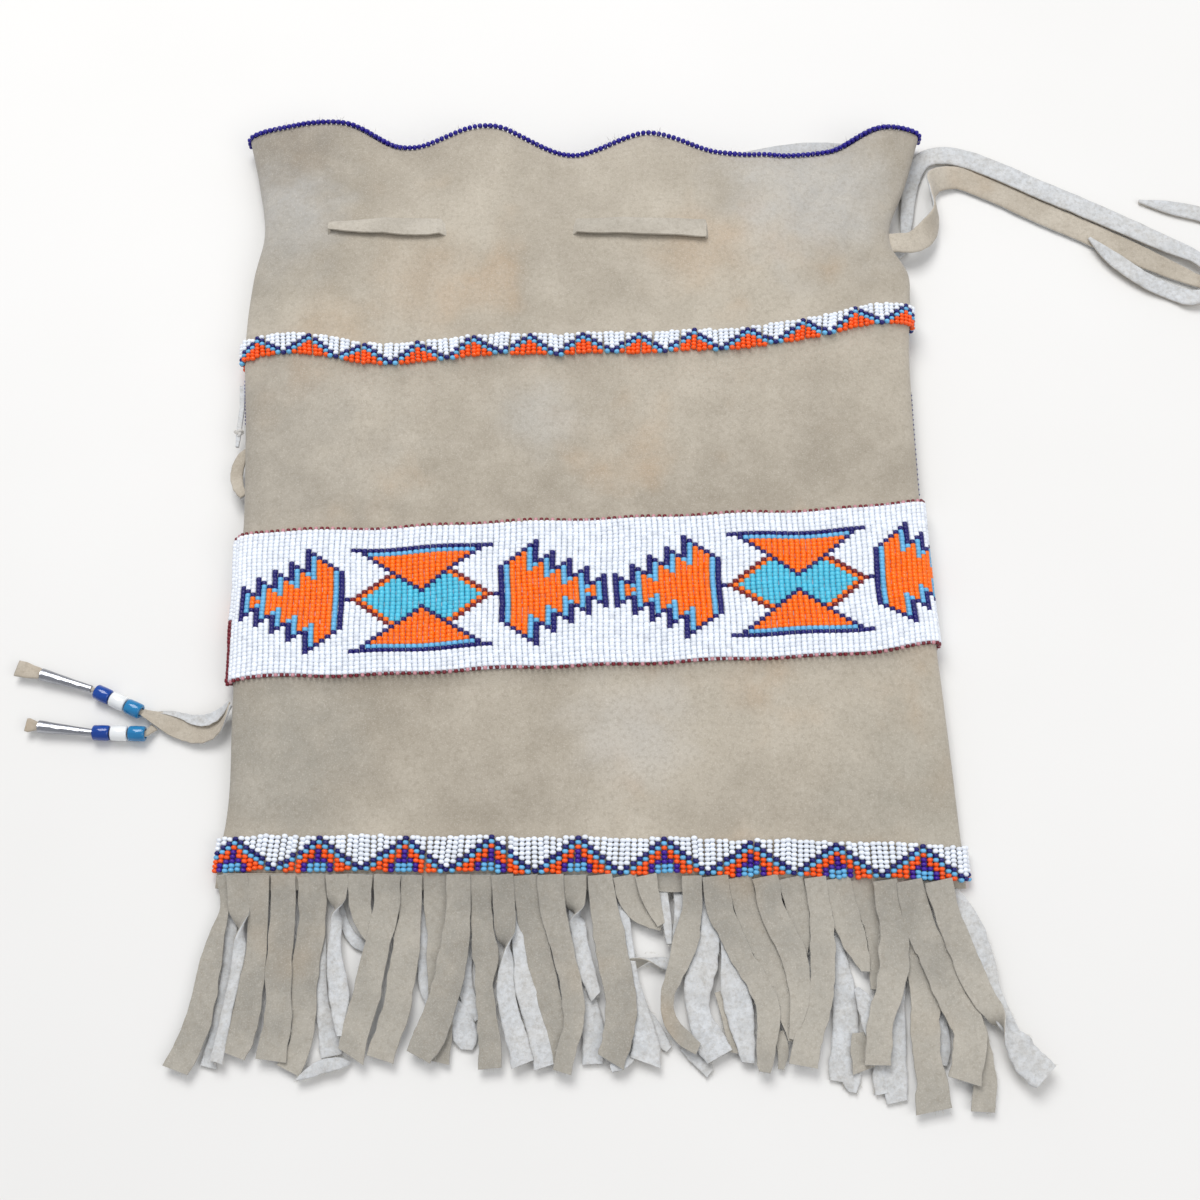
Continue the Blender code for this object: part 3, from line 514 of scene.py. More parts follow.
knot_points = knot_route(KNOT_PLACE, (2.6, 2.6, 1.0), KNOT_HALF, 40, 1.86, 0.25, 0.0036, 35)
knot = cut_thong("drawstring_overhand_knot", knot_points, steps=3, ragged=0.08, seed=9)[0]
dress(knot, thong_suede, "thong_leather", "drawstring_knot")
for name, node, route, flesh_up, far_end, seed in (
        ("front_strap_hide", "drawstring_front_strap", FRONT_STRAP, False, "knot", 11),
        ("back_strap_hide", "drawstring_back_strap", BACK_STRAP, True, "knot", 12),
        ("low_tail_hide", "drawstring_low_tail", LOW_TAIL, True, "bare", 13),
        ("high_tail_hide", "drawstring_high_tail", HIGH_TAIL, True, "bare", 14)):
    thong, line = cut_thong(name, route, steps=10, ragged=0.06, seed=seed, flesh_up=flesh_up)
    dress(thong, thong_suede, "thong_leather", node, sharp=60)
    length_of(line)

# Upper tie on the left seam: a small crescent of hide caught in the seam at both ends, with a thin white
# thong knotted above it that lies along the side.
TIE_LOOP = ((-0.1262, 0.1655, 0.0078, 0.0036, 0), (-0.1286, 0.1632, 0.0070, 0.0042, 0),
            (-0.1302, 0.1572, 0.0062, 0.0048, 0), (-0.1290, 0.1512, 0.0066, 0.0042, 0),
            (-0.1264, 0.1474, 0.0074, 0.0034, 0))
TIE_THREAD = ((-0.1306, 0.1678, 0.0074, 0.0012, 0), (-0.1304, 0.1730, 0.0078, 0.0018, 0),
              (-0.1302, 0.1790, 0.0078, 0.0019, 0), (-0.1300, 0.1840, 0.0076, 0.0019, 0),
              (-0.1303, 0.1885, 0.0070, 0.0020, 0), (-0.1307, 0.1945, 0.0062, 0.0024, 0))
SMALL_KNOT_PLACE = np.array((-0.1304, 0.1736, 0.0080))
SMALL_KNOT_HALF = 0.0014
loop = cut_thong("upper_tie_loop_hide", TIE_LOOP, steps=10, ragged=0.1, seed=21)[0]
dress(loop, thong_suede, "thong_leather", "upper_tie_loop")
thread = cut_thong("upper_tie_white_thong", TIE_THREAD, steps=8, ragged=0.1, seed=22, flesh_up=True)[0]
dress(thread, pale_thong, "thong_leather", "upper_tie_thread")
small_knot_points = knot_route(SMALL_KNOT_PLACE, 2.6, SMALL_KNOT_HALF, 30, 1.9, 0.2, 0.0012, 40)
small_knot = cut_thong("upper_tie_small_knot", small_knot_points, steps=2, thickness=0.0008, seed=23)[0]
dress(small_knot, pale_thong, "thong_leather", "upper_tie_knot")


# Buckskin pouch: one smoked hide folded at the right, whip-stitched at the left and along the bottom.
# It is soft, so its front swells over what little air it holds and its mouth runs in slow waves.
BAG_LENGTH = 0.300
HALF_WIDTH = 0.1275
BAG_THICKNESS = 0.0185
HIDE = 0.0014
BOTTOM_SEAM = 0.004
CLEARANCE = 0.0003
FOLD_HEIGHT_SHARE = 0.40
FRONT_ROUNDNESS = 3.0
BACK_ROUNDNESS = 5.0
BACK_FLATNESS = 1.06
LEFT_BULGE = ((0.0, -0.001), (0.10, -0.004), (0.22, -0.003), (0.45, -0.002), (0.57, 0.0), (0.70, 0.003),
              (0.80, 0.002), (0.87, -0.001), (0.94, 0.003), (1.0, 0.008))
RIGHT_BULGE = ((0.0, 0.0075), (0.20, 0.0035), (0.32, 0.001), (0.45, 0.0), (0.62, 0.0), (0.72, 0.002),
               (0.79, 0.002), (0.87, -0.0045), (0.94, 0.004), (1.0, 0.0105))
THICKNESS_SHAPE = ((0.0, 0.17), (0.05, 0.42), (0.16, 0.70), (0.34, 0.87), (0.66, 1.0), (0.86, 1.0),
                   (1.0, 0.93))
FRONT_MOUTH = ((-1.0, 0.006), (-0.72, 0.008), (-0.53, -0.003), (-0.29, 0.0055), (-0.04, -0.006),
               (0.19, 0.0025), (0.40, -0.0045), (0.72, -0.004), (0.88, 0.007), (1.0, 0.008))
BACK_MOUTH = ((-1.0, 0.006), (-0.53, 0.002), (0.0, 0.0), (0.40, 0.004), (0.55, 0.009), (0.70, 0.0118),
              (0.84, 0.010), (1.0, 0.008))
MOUTH_RUFFLE = 0.35
LEVEL = ((-1.0, 0.0), (1.0, 0.0))
LOWER_DRIFT = ((-1.0, 0.001), (0.0, 0.0), (1.0, -0.0022))
LOOM_DRIFT = ((-1.0, -0.0035), (-0.5, -0.003), (0.0, 0.0), (0.5, 0.0025), (0.8, 0.006), (1.0, 0.011))
UPPER_DRIFT = ((-1.0, 0.001), (-0.85, 0.002), (-0.55, -0.0045), (-0.3, -0.001), (0.3, 0.001), (0.6, 0.005),
               (0.85, 0.014), (1.0, 0.018))
LOWER_SPAN = (0.004, 0.016)
LOOM_SPAN = (0.076, 0.133)
UPPER_SPAN = (0.2005, 0.2095)
THONG_SPAN = (0.2537, 0.2623)
LIFT = 0.0019
LIFT_RAMP = 0.004
THONG_LIFT = 0.0017
THONG_RAMP = 0.014
SPANS = (LOWER_SPAN, LOOM_SPAN, UPPER_SPAN, THONG_SPAN)
DRIFTS = (LOWER_DRIFT, LOOM_DRIFT, UPPER_DRIFT, LEVEL)
DRIFT_LINES = ((0.0, LEVEL), *[(edge, drift) for span, drift in zip(SPANS, DRIFTS) for edge in span],
               (BAG_LENGTH, None))
SLITS = (-0.100, -0.0535, -0.003, 0.050)
THONG_HEIGHT = 0.258


def pouch(turn, height, out=0.0, soft=True):
    """Points of the hide: turn 0 to 1 runs over the front from the left seam, 1 to 2 back underneath."""
    turn, height, out = np.broadcast_arrays(np.asarray(turn, float) % 2.0, height, out)
    across = -np.cos(math.pi * turn)
    front = turn <= 1.0
    share = height / BAG_LENGTH
    left = -HALF_WIDTH - smooth_line(LEFT_BULGE, share) - out
    right = HALF_WIDTH + smooth_line(RIGHT_BULGE, share) + out
    thickness = BAG_THICKNESS * smooth_line(THICKNESS_SHAPE, share)
    fold = FOLD_HEIGHT_SHARE * thickness
    crown = np.maximum(0.0, 1.0 - np.abs(across) ** FRONT_ROUNDNESS) ** (1.0 / FRONT_ROUNDNESS)
    belly = np.maximum(0.0, 1.0 - np.abs(across) ** BACK_ROUNDNESS) ** (1.0 / BACK_ROUNDNESS)
    mouth = np.maximum(0.0, (height - THONG_SPAN[1]) / (BAG_LENGTH - THONG_SPAN[1]))
    top = (fold + (thickness - fold + out) * crown
           + MOUTH_RUFFLE * smooth_line(FRONT_MOUTH, across) * mouth * crown)
    under = fold - (fold + out) * np.minimum(1.0, BACK_FLATNESS * belly)
    x = (left + right) / 2 + across * (right - left) / 2
    gaps = [np.maximum(np.maximum(low - height, height - high), 0.0) for low, high in SPANS]
    ridge = np.maximum(0.0, 1.0 - gaps.pop() / THONG_RAMP)
    lift = (LIFT * np.maximum(0.0, 1.0 - np.minimum.reduce(gaps) / LIFT_RAMP)
            + THONG_LIFT * ridge ** 2 * (3 - 2 * ridge))
    y = height.astype(float).copy()
    for (low, low_line), (high, high_line) in zip(DRIFT_LINES, DRIFT_LINES[1:]):
        here = (height > low) & (height <= high) if low > 0 else (height <= high)
        part = np.clip((height - low) / (high - low), 0.0, 1.0)
        below = smooth_line(low_line, across)
        if high_line:
            above = smooth_line(high_line, across)
        else:
            above = np.where(front, smooth_line(FRONT_MOUTH, across), smooth_line(BACK_MOUTH, across))
        y = np.where(here, height + below + (above - below) * part, y)
    z = np.where(front, top, under) + np.where(front, lift * np.minimum(1.0, 0.25 + crown), lift)
    points = np.stack([x, y, z], -1)
    if soft:
        points[..., 2] += np.where(front, hollows(x, y) * crown, 0.0)
    return points


# Slow hollows and folds of the soft front: centre, half lengths along and across, turn and depth
FOLDS = ((-0.075, 0.272, 0.030, 0.004, 80, 0.0009), (-0.030, 0.280, 0.028, 0.004, 95, 0.0010),
         (0.020, 0.276, 0.026, 0.004, 78, 0.0009), (0.078, 0.278, 0.028, 0.005, 105, 0.0011),
         (-0.102, 0.240, 0.022, 0.004, 62, -0.0007), (-0.050, 0.244, 0.018, 0.004, 118, -0.0006),
         (-0.002, 0.243, 0.018, 0.004, 66, -0.0006), (0.052, 0.242, 0.020, 0.004, 112, -0.0007),
         (0.095, 0.274, 0.019, 0.0035, 62, -0.0017), (0.103, 0.266, 0.022, 0.005, 68, 0.0010),
         (-0.115, 0.285, 0.022, 0.005, 100, -0.0009),
         (0.030, 0.055, 0.060, 0.012, 12, -0.0007), (-0.060, 0.045, 0.050, 0.010, 172, 0.0005),
         (0.010, 0.165, 0.070, 0.014, 6, -0.0006), (-0.070, 0.155, 0.040, 0.010, 20, 0.0005),
         (0.080, 0.170, 0.040, 0.010, 160, 0.0006))


def hollows(x, y):
    total = np.zeros_like(x)
    for fold_x, fold_y, long_half, short_half, angle, depth in FOLDS:
        c, s = math.cos(math.radians(angle)), math.sin(math.radians(angle))
        along = ((x - fold_x) * c + (y - fold_y) * s) / long_half
        aside = (-(x - fold_x) * s + (y - fold_y) * c) / short_half
        total += depth * np.exp(-along ** 2 - aside ** 2)
    calm = np.ones_like(y)
    for low, high in (LOOM_SPAN, UPPER_SPAN):
        middle, half = (low + high) / 2, (high - low) / 2
        calm = np.minimum(calm, np.clip((np.abs(y - middle) - half - 0.006) / 0.010, 0.0, 1.0))
    wave = 0.0004 * np.sin(x * 61 + y * 23) * np.sin(y * 47 - x * 19 + 1.0)
    return (1.35 * total + wave) * calm


def hide_stack(name, heights, turns, out):
    piece, columns, rows = blank_grid(name, len(turns) - 1, len(heights) - 1)
    lay(piece, pouch(np.array(turns)[columns], np.array(heights)[rows], out))
    return piece


pouch_turns = np.concatenate([np.linspace(0, 1, 121), np.linspace(1, 2, 61)[1:]])
pouch_heights = np.unique(np.concatenate([np.linspace(0.0, BAG_LENGTH, 101), *[(a, b) for a, b in
                                          (LOWER_SPAN, LOOM_SPAN, UPPER_SPAN, THONG_SPAN)]]))
outer_hide = hide_stack("outer_hide", pouch_heights, pouch_turns, 0.0)
inner_hide = hide_stack("inner_hide", pouch_heights[pouch_heights >= BOTTOM_SEAM], pouch_turns[::2], -HIDE)
form = bmesh.new()
form.from_mesh(outer_hide.data)
form.from_mesh(inner_hide.data)
flesh = form.verts.layers.float.new("flesh")
for i, vertex in enumerate(form.verts):
    vertex[flesh] = float(i >= len(outer_hide.data.vertices))
bmesh.ops.remove_doubles(form, verts=form.verts, dist=1e-6)
rims = [edge for edge in form.edges if edge.is_boundary]
middle = BAG_PLACE[1] + BAG_LENGTH / 2
bmesh.ops.bridge_loops(form, edges=[edge for edge in rims if edge.verts[0].co.y > middle])
bmesh.ops.holes_fill(form, edges=[edge for edge in form.edges if edge.is_boundary], sides=0)
bmesh.ops.recalc_face_normals(form, faces=form.faces)
form.to_mesh(outer_hide.data)
form.free()
bpy.data.objects.remove(inner_hide)
outer_hide.name = "pouch_hide"
dress(outer_hide, suede, "buckskin", "buckskin_pouch", sharp=50)

# Fringe: the bottom edge of both layers of the hide is cut into sixty strips, which widen, curl and cross as
# they lie. Front ones show tan suede, back ones the pale flesh side, and a few roll over on their way.
# Each strip: side up, level in the pile, shares of its run where it rolls over, and x, y and width in
# millimetres.
FRINGE = (
    ("T", 1, None, ((-123.1, 3.4, 4.2), (-122, -7.1, 3.1), (-124, -16.4, 5.5), (-125.3, -24.9, 7.5),
     (-126.3, -33.4, 8.2), (-127.3, -41.7, 8.8), (-129.8, -51.6, 9.4), (-134.3, -61.7, 9.4))),
    ("P", 0, None, ((-120.6, 2, 4.9), (-119.7, -18.1, 4.1), (-120.5, -30, 3.4), (-122, -45, 3.4),
     (-123, -53.3, 4.4), (-124, -60.4, 5.7))),
    ("T", 2, (0.18, 0.42), ((-117.9, 3.4, 7.3), (-116.7, -7.8, 7.3), (-115.5, -14.7, 5.9),
     (-116.1, -24.9, 4.1), (-117.3, -35, 3.7), (-118.4, -42.4, 3.7), (-119.7, -51.6, 4),
     (-120.8, -59.1, 4.7))),
    ("T", 1, None, ((-110.6, 3.4, 7.7), (-110.2, -16.4, 6.9), (-110.9, -30.7, 8.5), (-111.7, -41.7, 9.5),
     (-113.5, -50, 10.1), (-115.9, -56.8, 10.1))),
    ("T", 1, None, ((-101.9, 3.4, 8.7), (-101.9, -6, 8.7), (-101.9, -16.4, 8.9), (-102.2, -27.6, 8.9),
     (-101.2, -41.7, 9.1), (-101.4, -48.3, 9.8), (-102.8, -58.5, 10.4))),
    ("T", 0, None, ((-92.5, 3.4, 9.8), (-91.9, -6, 9.7), (-92, -16.4, 9.6), (-93.3, -27.6, 9.6),
     (-93, -38.4, 8.8), (-92.7, -47.3, 8.1), (-93.6, -54.9, 7.4), (-96.8, -61.7, 9))),
    ("T", 2, (0.12, 0.32), ((-83.4, 3.4, 7.7), (-83, -4.3, 6.9), (-83.2, -12.9, 4.1), (-83.3, -23.2, 5.1),
     (-81.8, -31.7, 6.8), (-80.7, -38.4, 6.8), (-80.4, -45, 4.4), (-79.7, -50.6, 2.4))),
    ("P", 0, None, ((-90.6, 1, 5.6), (-88.7, -24.9, 4.8), (-86.8, -40, 4.7), (-84.7, -46.7, 6.8),
     (-83.3, -52.3, 8.1), (-82.7, -56.8, 7.4))),
    ("P", 1, None, ((-76.3, -58.8, 1), (-80.2, -59.4, 4), (-85.5, -60.4, 4.7), (-90.1, -62.7, 3.3),
     (-93.6, -64.6, 0.7))),
    ("T", 2, None, ((-75.1, 3.4, 8.4), (-75.4, -4.3, 8), (-74, -11.2, 6.6), (-71.3, -17.1, 4.5),
     (-68.4, -19.5, 2.7))),
    ("P", 0, None, ((-82.3, -5, 1), (-80.8, -11.9, 3.1), (-78.2, -16.7, 3.8), (-74.6, -19.8, 3.8),
     (-70.4, -21.5, 2.4))),
    ("T", 2, None, ((-65.7, 3.4, 9.4), (-66.2, -7.8, 9), (-68.4, -19.1, 8.9), (-70.6, -30.7, 9.2),
     (-71.9, -39, 9.5), (-74.2, -47.3, 9.4), (-76, -57.2, 9.4))),
    ("T", 1, None, ((-57.6, 3.4, 7.7), (-57.9, -7.8, 7.6), (-58.6, -16.4, 8.9), (-59.2, -24.9, 9.6),
     (-60.3, -33.4, 9.5), (-61.3, -41.7, 9.5), (-63.9, -50, 9.4), (-66.2, -58.1, 9.4))),
    ("P", 0, None, ((-54.4, 1, 4.2), (-53, -18.1, 3.8), (-52.7, -25.6, 4.4), (-52.4, -33.4, 4.1),
     (-50.8, -40, 1.7))),
    ("T", 0, None, ((-49.6, 3.4, 8.4), (-49.2, -7.8, 8), (-48.6, -16.4, 6.9), (-48.2, -28.3, 6.8),
     (-46.4, -41.7, 7.5), (-46, -51.6, 7.4), (-47.4, -58.8, 8.7))),
    ("T", 2, None, ((-41.3, 3.4, 8.4), (-41.3, -7.8, 8.6), (-41.7, -16.4, 9.3), (-42.8, -24.9, 10.3),
     (-44.3, -33.4, 10.2), (-45.8, -39, 10.2), (-48.2, -47.3, 10.8), (-50.7, -52.6, 10.8),
     (-53.2, -57.5, 9.1))),
    ("P", 0, None, ((-37.7, 1, 4.9), (-38.4, -24.9, 4.1), (-38.5, -33.4, 5.4), (-36.6, -39.4, 5.4),
     (-33.4, -44.4, 3.4))),
    ("P", 0, None, ((-43.1, -38.4, 4.1), (-40.2, -43, 6.8), (-38.4, -48.3, 8.4), (-37.6, -52.3, 7.4),
     (-37.5, -54.6, 4))),
    ("T", 1, None, ((-33.6, 3.4, 7.3), (-33.3, -7.8, 7.3), (-32.8, -16.4, 7.9), (-31.6, -23.2, 9.3),
     (-31.4, -28.3, 7.5), (-32, -33.4, 6.1), (-31.2, -39, 6.4), (-30.3, -47.3, 7.1), (-29.5, -52.6, 7.7),
     (-29.3, -61.1, 8))),
    ("T", 2, (0.28, 0.48), ((-26.3, 3.4, 7.7), (-25.4, -7.8, 7.6), (-24.8, -16.4, 7.2), (-23.7, -23.2, 4.8),
     (-24.6, -30.7, 5.5), (-24.5, -36, 6.5), (-23.3, -41.7, 6.4), (-21.9, -47.3, 7.1), (-20.1, -52.6, 7.4),
     (-18.3, -59.8, 7.7))),
    ("P", 1, None, ((-22.4, 1, 3.5), (-20.7, -18.1, 4.1), (-19.5, -25.9, 4.8), (-18.4, -33.4, 6.8),
     (-16.2, -39, 7.8), (-14.1, -45, 8.4), (-12.4, -51.6, 8.4), (-10.6, -60.4, 8))),
    ("T", 1, None, ((-18.3, 3.4, 8.7), (-17.1, -7.8, 8.6), (-15.2, -16.4, 8.6), (-13, -24.9, 8.6),
     (-10.9, -33.4, 8.5), (-8.8, -41.7, 7.8), (-6.7, -50, 6.4), (-5.2, -60.1, 5.4))),
    ("T", 2, None, ((-9.6, 3.4, 9.1), (-8.8, -7.8, 9), (-6.6, -16.4, 8.3), (-4.5, -24.9, 7.5),
     (-2.4, -33.4, 7.5), (-1.3, -41.7, 7.5), (-1.6, -48.3, 6.7), (-3.6, -54.9, 6.4), (-5.2, -62.4, 6.4))),
    ("T", 1, (0.2, 0.4), ((-1.2, 3.4, 8), (-0.8, -6, 7.3), (-0.1, -12.9, 5.9), (0.6, -18.8, 5.5),
     (1.7, -24.2, 6.2), (3.4, -30, 5.8), (6.1, -37.4, 4.1))),
    ("P", 0, None, ((-1.5, 1, 4.9), (-0.4, -24.9, 3.4), (2.1, -35, 5.4), (4.5, -43.4, 7.1),
     (5.5, -51.6, 7.7), (4.8, -59.4, 7))),
    ("T", 2, None, ((7.5, 3.4, 8.4), (8.9, -7.8, 9.7), (10.6, -16.4, 10.7), (11.6, -23.2, 11),
     (13.3, -30.7, 10.9), (14.6, -39, 10.5), (14.2, -47.3, 10.5), (12.9, -52.6, 10.1), (11.2, -59.1, 9.7))),
    ("P", 1, None, ((11.7, 1, 4.2), (14.8, -8.4, 4.8), (16.8, -19.8, 4.1), (18.7, -31.7, 4.1),
     (21.1, -41, 5.4), (22, -47.7, 7.4), (23, -54.2, 9.4), (22.6, -59.1, 10.7))),
    ("P", 0, None, ((18.4, -35, 2.7), (21.7, -41.7, 4.7), (25.1, -46.7, 5.4), (28, -51.3, 5),
     (30.7, -54.6, 2.7))),
    ("P", 1, None, ((18.6, -54.2, 5.4), (15.5, -58.8, 4.4), (11.2, -61.1, 2.7))),
    ("T", 1, None, ((15.9, 3.4, 8.4), (17.6, -3.6, 8.3), (21.3, -8.8, 7.6), (25.4, -11.9, 5.2),
     (28.5, -14, 2.4))),
    ("T", 2, None, ((23.2, 3.4, 7.7), (24.5, -2.5, 6.9), (26.5, -8.4, 5.2), (28.5, -13.3, 2.8))),
    ("P", 2, None, ((28.4, 3.4, 4.2), (29.3, -4.3, 3.8), (30.6, -12.9, 3.1), (31.2, -19.8, 1.7))),
    ("P", 1, None, ((34.3, 2.7, 3.8), (34.9, -6, 3.5), (34.1, -12.9, 2.8), (32.2, -19.1, 1.7))),
    ("T", 0, (0, 1), ((16.4, -26.9, 4.1), (21.2, -25.2, 4.4), (25.3, -24.9, 4.4), (30.8, -26.3, 4.4))),
    ("T", 2, None, ((39.2, 3.4, 7), (39.3, -7.8, 6.9), (38.2, -12.9, 7.9), (36.7, -19.1, 8.9),
     (34.9, -24.9, 7.5), (32.7, -30.7, 6.1), (30.6, -36, 4.8), (30.2, -41.7, 4.4), (32.1, -47.3, 5.1),
     (36.4, -51.9, 5.4), (40.4, -54.9, 4))),
    ("P", 0, None, ((35.7, -52.9, 4), (39.4, -56.2, 5.4), (42.3, -59.4, 5), (44.3, -62.4, 3.3))),
    ("P", 1, None, ((43.7, 2, 4.2), (44.6, -6, 4.8), (45.1, -14.7, 6.5), (44.6, -19.1, 7.9),
     (43.4, -24.9, 9.2), (41.6, -30.7, 9.9), (40.5, -36, 9.2), (40.7, -41.7, 7.8), (42.3, -47.3, 8.8),
     (44.8, -52.6, 10.8), (47.7, -57.2, 9.4))),
    ("P", 1, None, ((49.9, 1, 3.5), (50.5, -18.1, 3.4), (51.3, -24.9, 4.8), (52.2, -30.7, 7.8),
     (53.4, -36, 9.5), (54.6, -41.7, 9.8), (55.4, -47.3, 8.4), (56.3, -52.6, 6.7), (57.1, -59.1, 4.4))),
    ("T", 0, None, ((48.3, -35, 4.1), (50.8, -43.4, 4.7), (52.3, -51, 4.7), (52.8, -55.9, 2.7))),
    ("T", 2, None, ((47.2, 3.4, 9.1), (48.7, -7.8, 9.3), (51.6, -14.7, 8.6), (53.9, -19.8, 8.2),
     (56.1, -24.9, 7.9), (59.4, -30, 7.8), (61.9, -35, 7.8), (64.1, -40, 8.1), (64.2, -46.7, 7.8),
     (63.3, -52.3, 6.7), (62.8, -58.1, 6), (62.3, -62.4, 4))),
    ("T", 1, None, ((55.6, 3.4, 8.4), (57.7, -6, 8.7), (60.9, -14.7, 9), (64.1, -21.5, 9.6),
     (67.2, -30, 10.2), (70, -38.4, 9.5), (71.7, -45, 6.8), (72.1, -52.3, 2.7))),
    ("T", 2, None, ((64.3, 3.4, 9.1), (66.7, -7.8, 9), (69.5, -14.7, 9.3), (72.7, -21.5, 9.3),
     (74.7, -30, 8.2), (75, -38.4, 6.8), (73.7, -45, 4.7), (71.8, -51.6, 2))),
    ("T", 0, None, ((67.5, -48.3, 4), (69, -54.9, 4), (68.1, -61.1, 2))),
    ("T", 1, None, ((73.3, 3.4, 8.7), (75.4, -6, 8.3), (76.8, -12.9, 5.9), (77.6, -18.1, 3.8),
     (77.4, -23.9, 1.7))),
    ("T", 2, None, ((81.7, 3.4, 7.7), (83, -6, 7.6), (83.7, -12.9, 8.3), (83.7, -19.8, 8.6),
     (83.3, -28.3, 8.5), (82.7, -35, 8.5), (81.4, -40, 8.8), (79.4, -46.7, 8.8), (77.1, -52.3, 9.4),
     (75.4, -60.4, 10))),
    ("T", 1, None, ((89.7, 3.4, 8.7), (91.3, -6, 9.4), (93, -12.9, 9.7), (94.8, -19.1, 8.6),
     (96.6, -23.9, 6.2), (98, -29, 3.1))),
    ("P", 0, None, ((88.1, -0.8, 5.6), (88.6, -18.1, 4.1), (90, -24.9, 5.1), (90.7, -31, 6.5),
     (90.7, -37, 8.2), (90.8, -43, 8.8), (90.4, -49, 8.8), (89.5, -54.9, 8.7), (88.5, -61.1, 8.7),
     (87.6, -65, 7.3))),
    ("P", 1, None, ((95, -33.4, 2), (96.8, -38.4, 5.1), (98.2, -43.4, 6.1), (98.9, -48.3, 5.4),
     (99, -51.9, 2.7))),
    ("T", 0, None, ((94.5, -48.3, 4), (95.2, -54.9, 7.4), (96.5, -61.4, 9))),
    ("P", 0, None, ((91.8, -61.4, 6.7), (91.6, -65.3, 6), (91.7, -68.5, 2.7))),
    ("T", 0, None, ((98.1, 3.4, 8.4), (99.6, -6, 7.6), (101.7, -12.9, 6.9), (103, -19.1, 7.2),
     (103.2, -26.6, 7.5), (103.1, -35, 7.5))),
    ("T", 2, None, ((105.7, 2.7, 8.4), (107.1, -7.8, 9), (108.4, -14.7, 9.6), (108, -21.5, 10.6),
     (107.1, -30, 9.9), (104.6, -38.4, 9.2), (102.1, -45, 8.8), (101.1, -51.6, 8.8), (100.2, -60.1, 9))),
    ("P", 0, None, ((112.9, -4.3, 2.8), (111.6, -24.9, 2.7), (110.3, -34, 3.1), (109.2, -40, 3.7),
     (108.5, -46.3, 5.1), (107.8, -52.3, 6.1), (107, -58.1, 7), (106.3, -64.6, 8.3), (106.5, -71.7, 7.3))),
    ("P", 0, None, ((101.3, -58.8, 4), (101, -64, 4.7), (101.7, -69.1, 4.7))),
    ("T", 1, None, ((111.9, 2, 5.6), (112.5, -11.2, 4.1), (113.3, -19.8, 3.4), (114, -24.9, 4.8),
     (115.9, -31, 7.2), (117.5, -38.4, 9.5), (117.3, -45, 10.1), (116.8, -52.3, 9.8), (117.1, -58.1, 9.4),
     (118.2, -66.2, 10.7), (117.9, -74.9, 12.3))),
    ("T", 2, None, ((114.1, 2.7, 9.1), (116.4, -9.5, 10.7), (118.3, -16.4, 10.7), (120.7, -21.5, 11.3),
     (123, -28.3, 10.6), (125.2, -35, 10.2), (128.1, -41.7, 10.8), (131.4, -47, 11.5), (131.6, -52.3, 11.4),
     (130.5, -58.1, 11.1), (128.6, -65.3, 11))),
    ("T", 3, (0.62, 0.8), ((124.2, 2.7, 9.8), (126.7, -9.5, 9), (129, -16.4, 9.3), (131.2, -23.2, 9.3),
     (133.4, -30, 9.6), (136.3, -36.7, 8.8), (140.2, -42.7, 7.4), (143.8, -48, 6.7), (146.8, -52.3, 8.7),
     (149.1, -56.5, 10.1), (152.4, -61.1, 11.4), (155.8, -64, 10))),
    ("P", 2, None, ((130.3, 0.6, 4.2), (133.7, -8.4, 5.5), (135.9, -15.7, 7.6), (137.2, -21.5, 7.9),
     (138.7, -28.3, 7.9), (139.9, -34, 6.5), (141.8, -40, 6.1), (144, -45.7, 6.1), (146.7, -49.6, 4.4))),
    ("T", 0, None, ((133.5, -41.7, 6.1), (134.9, -50, 6.7), (135.7, -56.5, 7), (136.1, -64, 7.7),
     (134.5, -74.9, 8))),
    ("P", 0, None, ((122.9, -38.4, 2.7), (123.2, -48.3, 4.4), (123.4, -54.9, 4.4), (122.7, -59.8, 2.7))),
)
LEVELS = (0.0006, 0.0030, 0.0042, 0.0054)
ROOT_SLOPE = ((-0.014, 0.0), (-0.008, 0.0004), (-0.004, 0.0014), (0.0, 0.0026), (0.0035, 0.0042))
FRONT_LIFT = 0.0012
ROOT_DRIFT_SHARE = 0.6
STRIP = 0.0011
FIBRES_PER_STRIP = 26


def copies(name, points, faces):
    """One mesh of a small form many times over, from an array of places by copy and vertex."""
    count, per_copy = points.shape[:2]
    corners = np.concatenate([np.array(face) for face in faces])
    sides = np.array([len(face) for face in faces])
    starts = np.concatenate([[0], np.cumsum(sides)[:-1]])
    spots = points.reshape(-1, 3) + BAG_PLACE
    spots[:, 2] = np.maximum(spots[:, 2], 0.0)
    mesh = bpy.data.meshes.new(name)
    mesh.vertices.add(len(spots))
    mesh.vertices.foreach_set("co", spots.astype(np.float32).ravel())
    mesh.loops.add(count * len(corners))
    copy = np.arange(count)[:, None]
    mesh.loops.foreach_set("vertex_index", (copy * per_copy + corners).astype(np.int32).ravel())
    mesh.polygons.add(count * len(faces))
    mesh.polygons.foreach_set("loop_start", (copy * len(corners) + starts).astype(np.int32).ravel())
    mesh.update(calc_edges=True)
    piece = bpy.data.objects.new(name, mesh)
    bpy.context.scene.collection.objects.link(piece)
    return piece


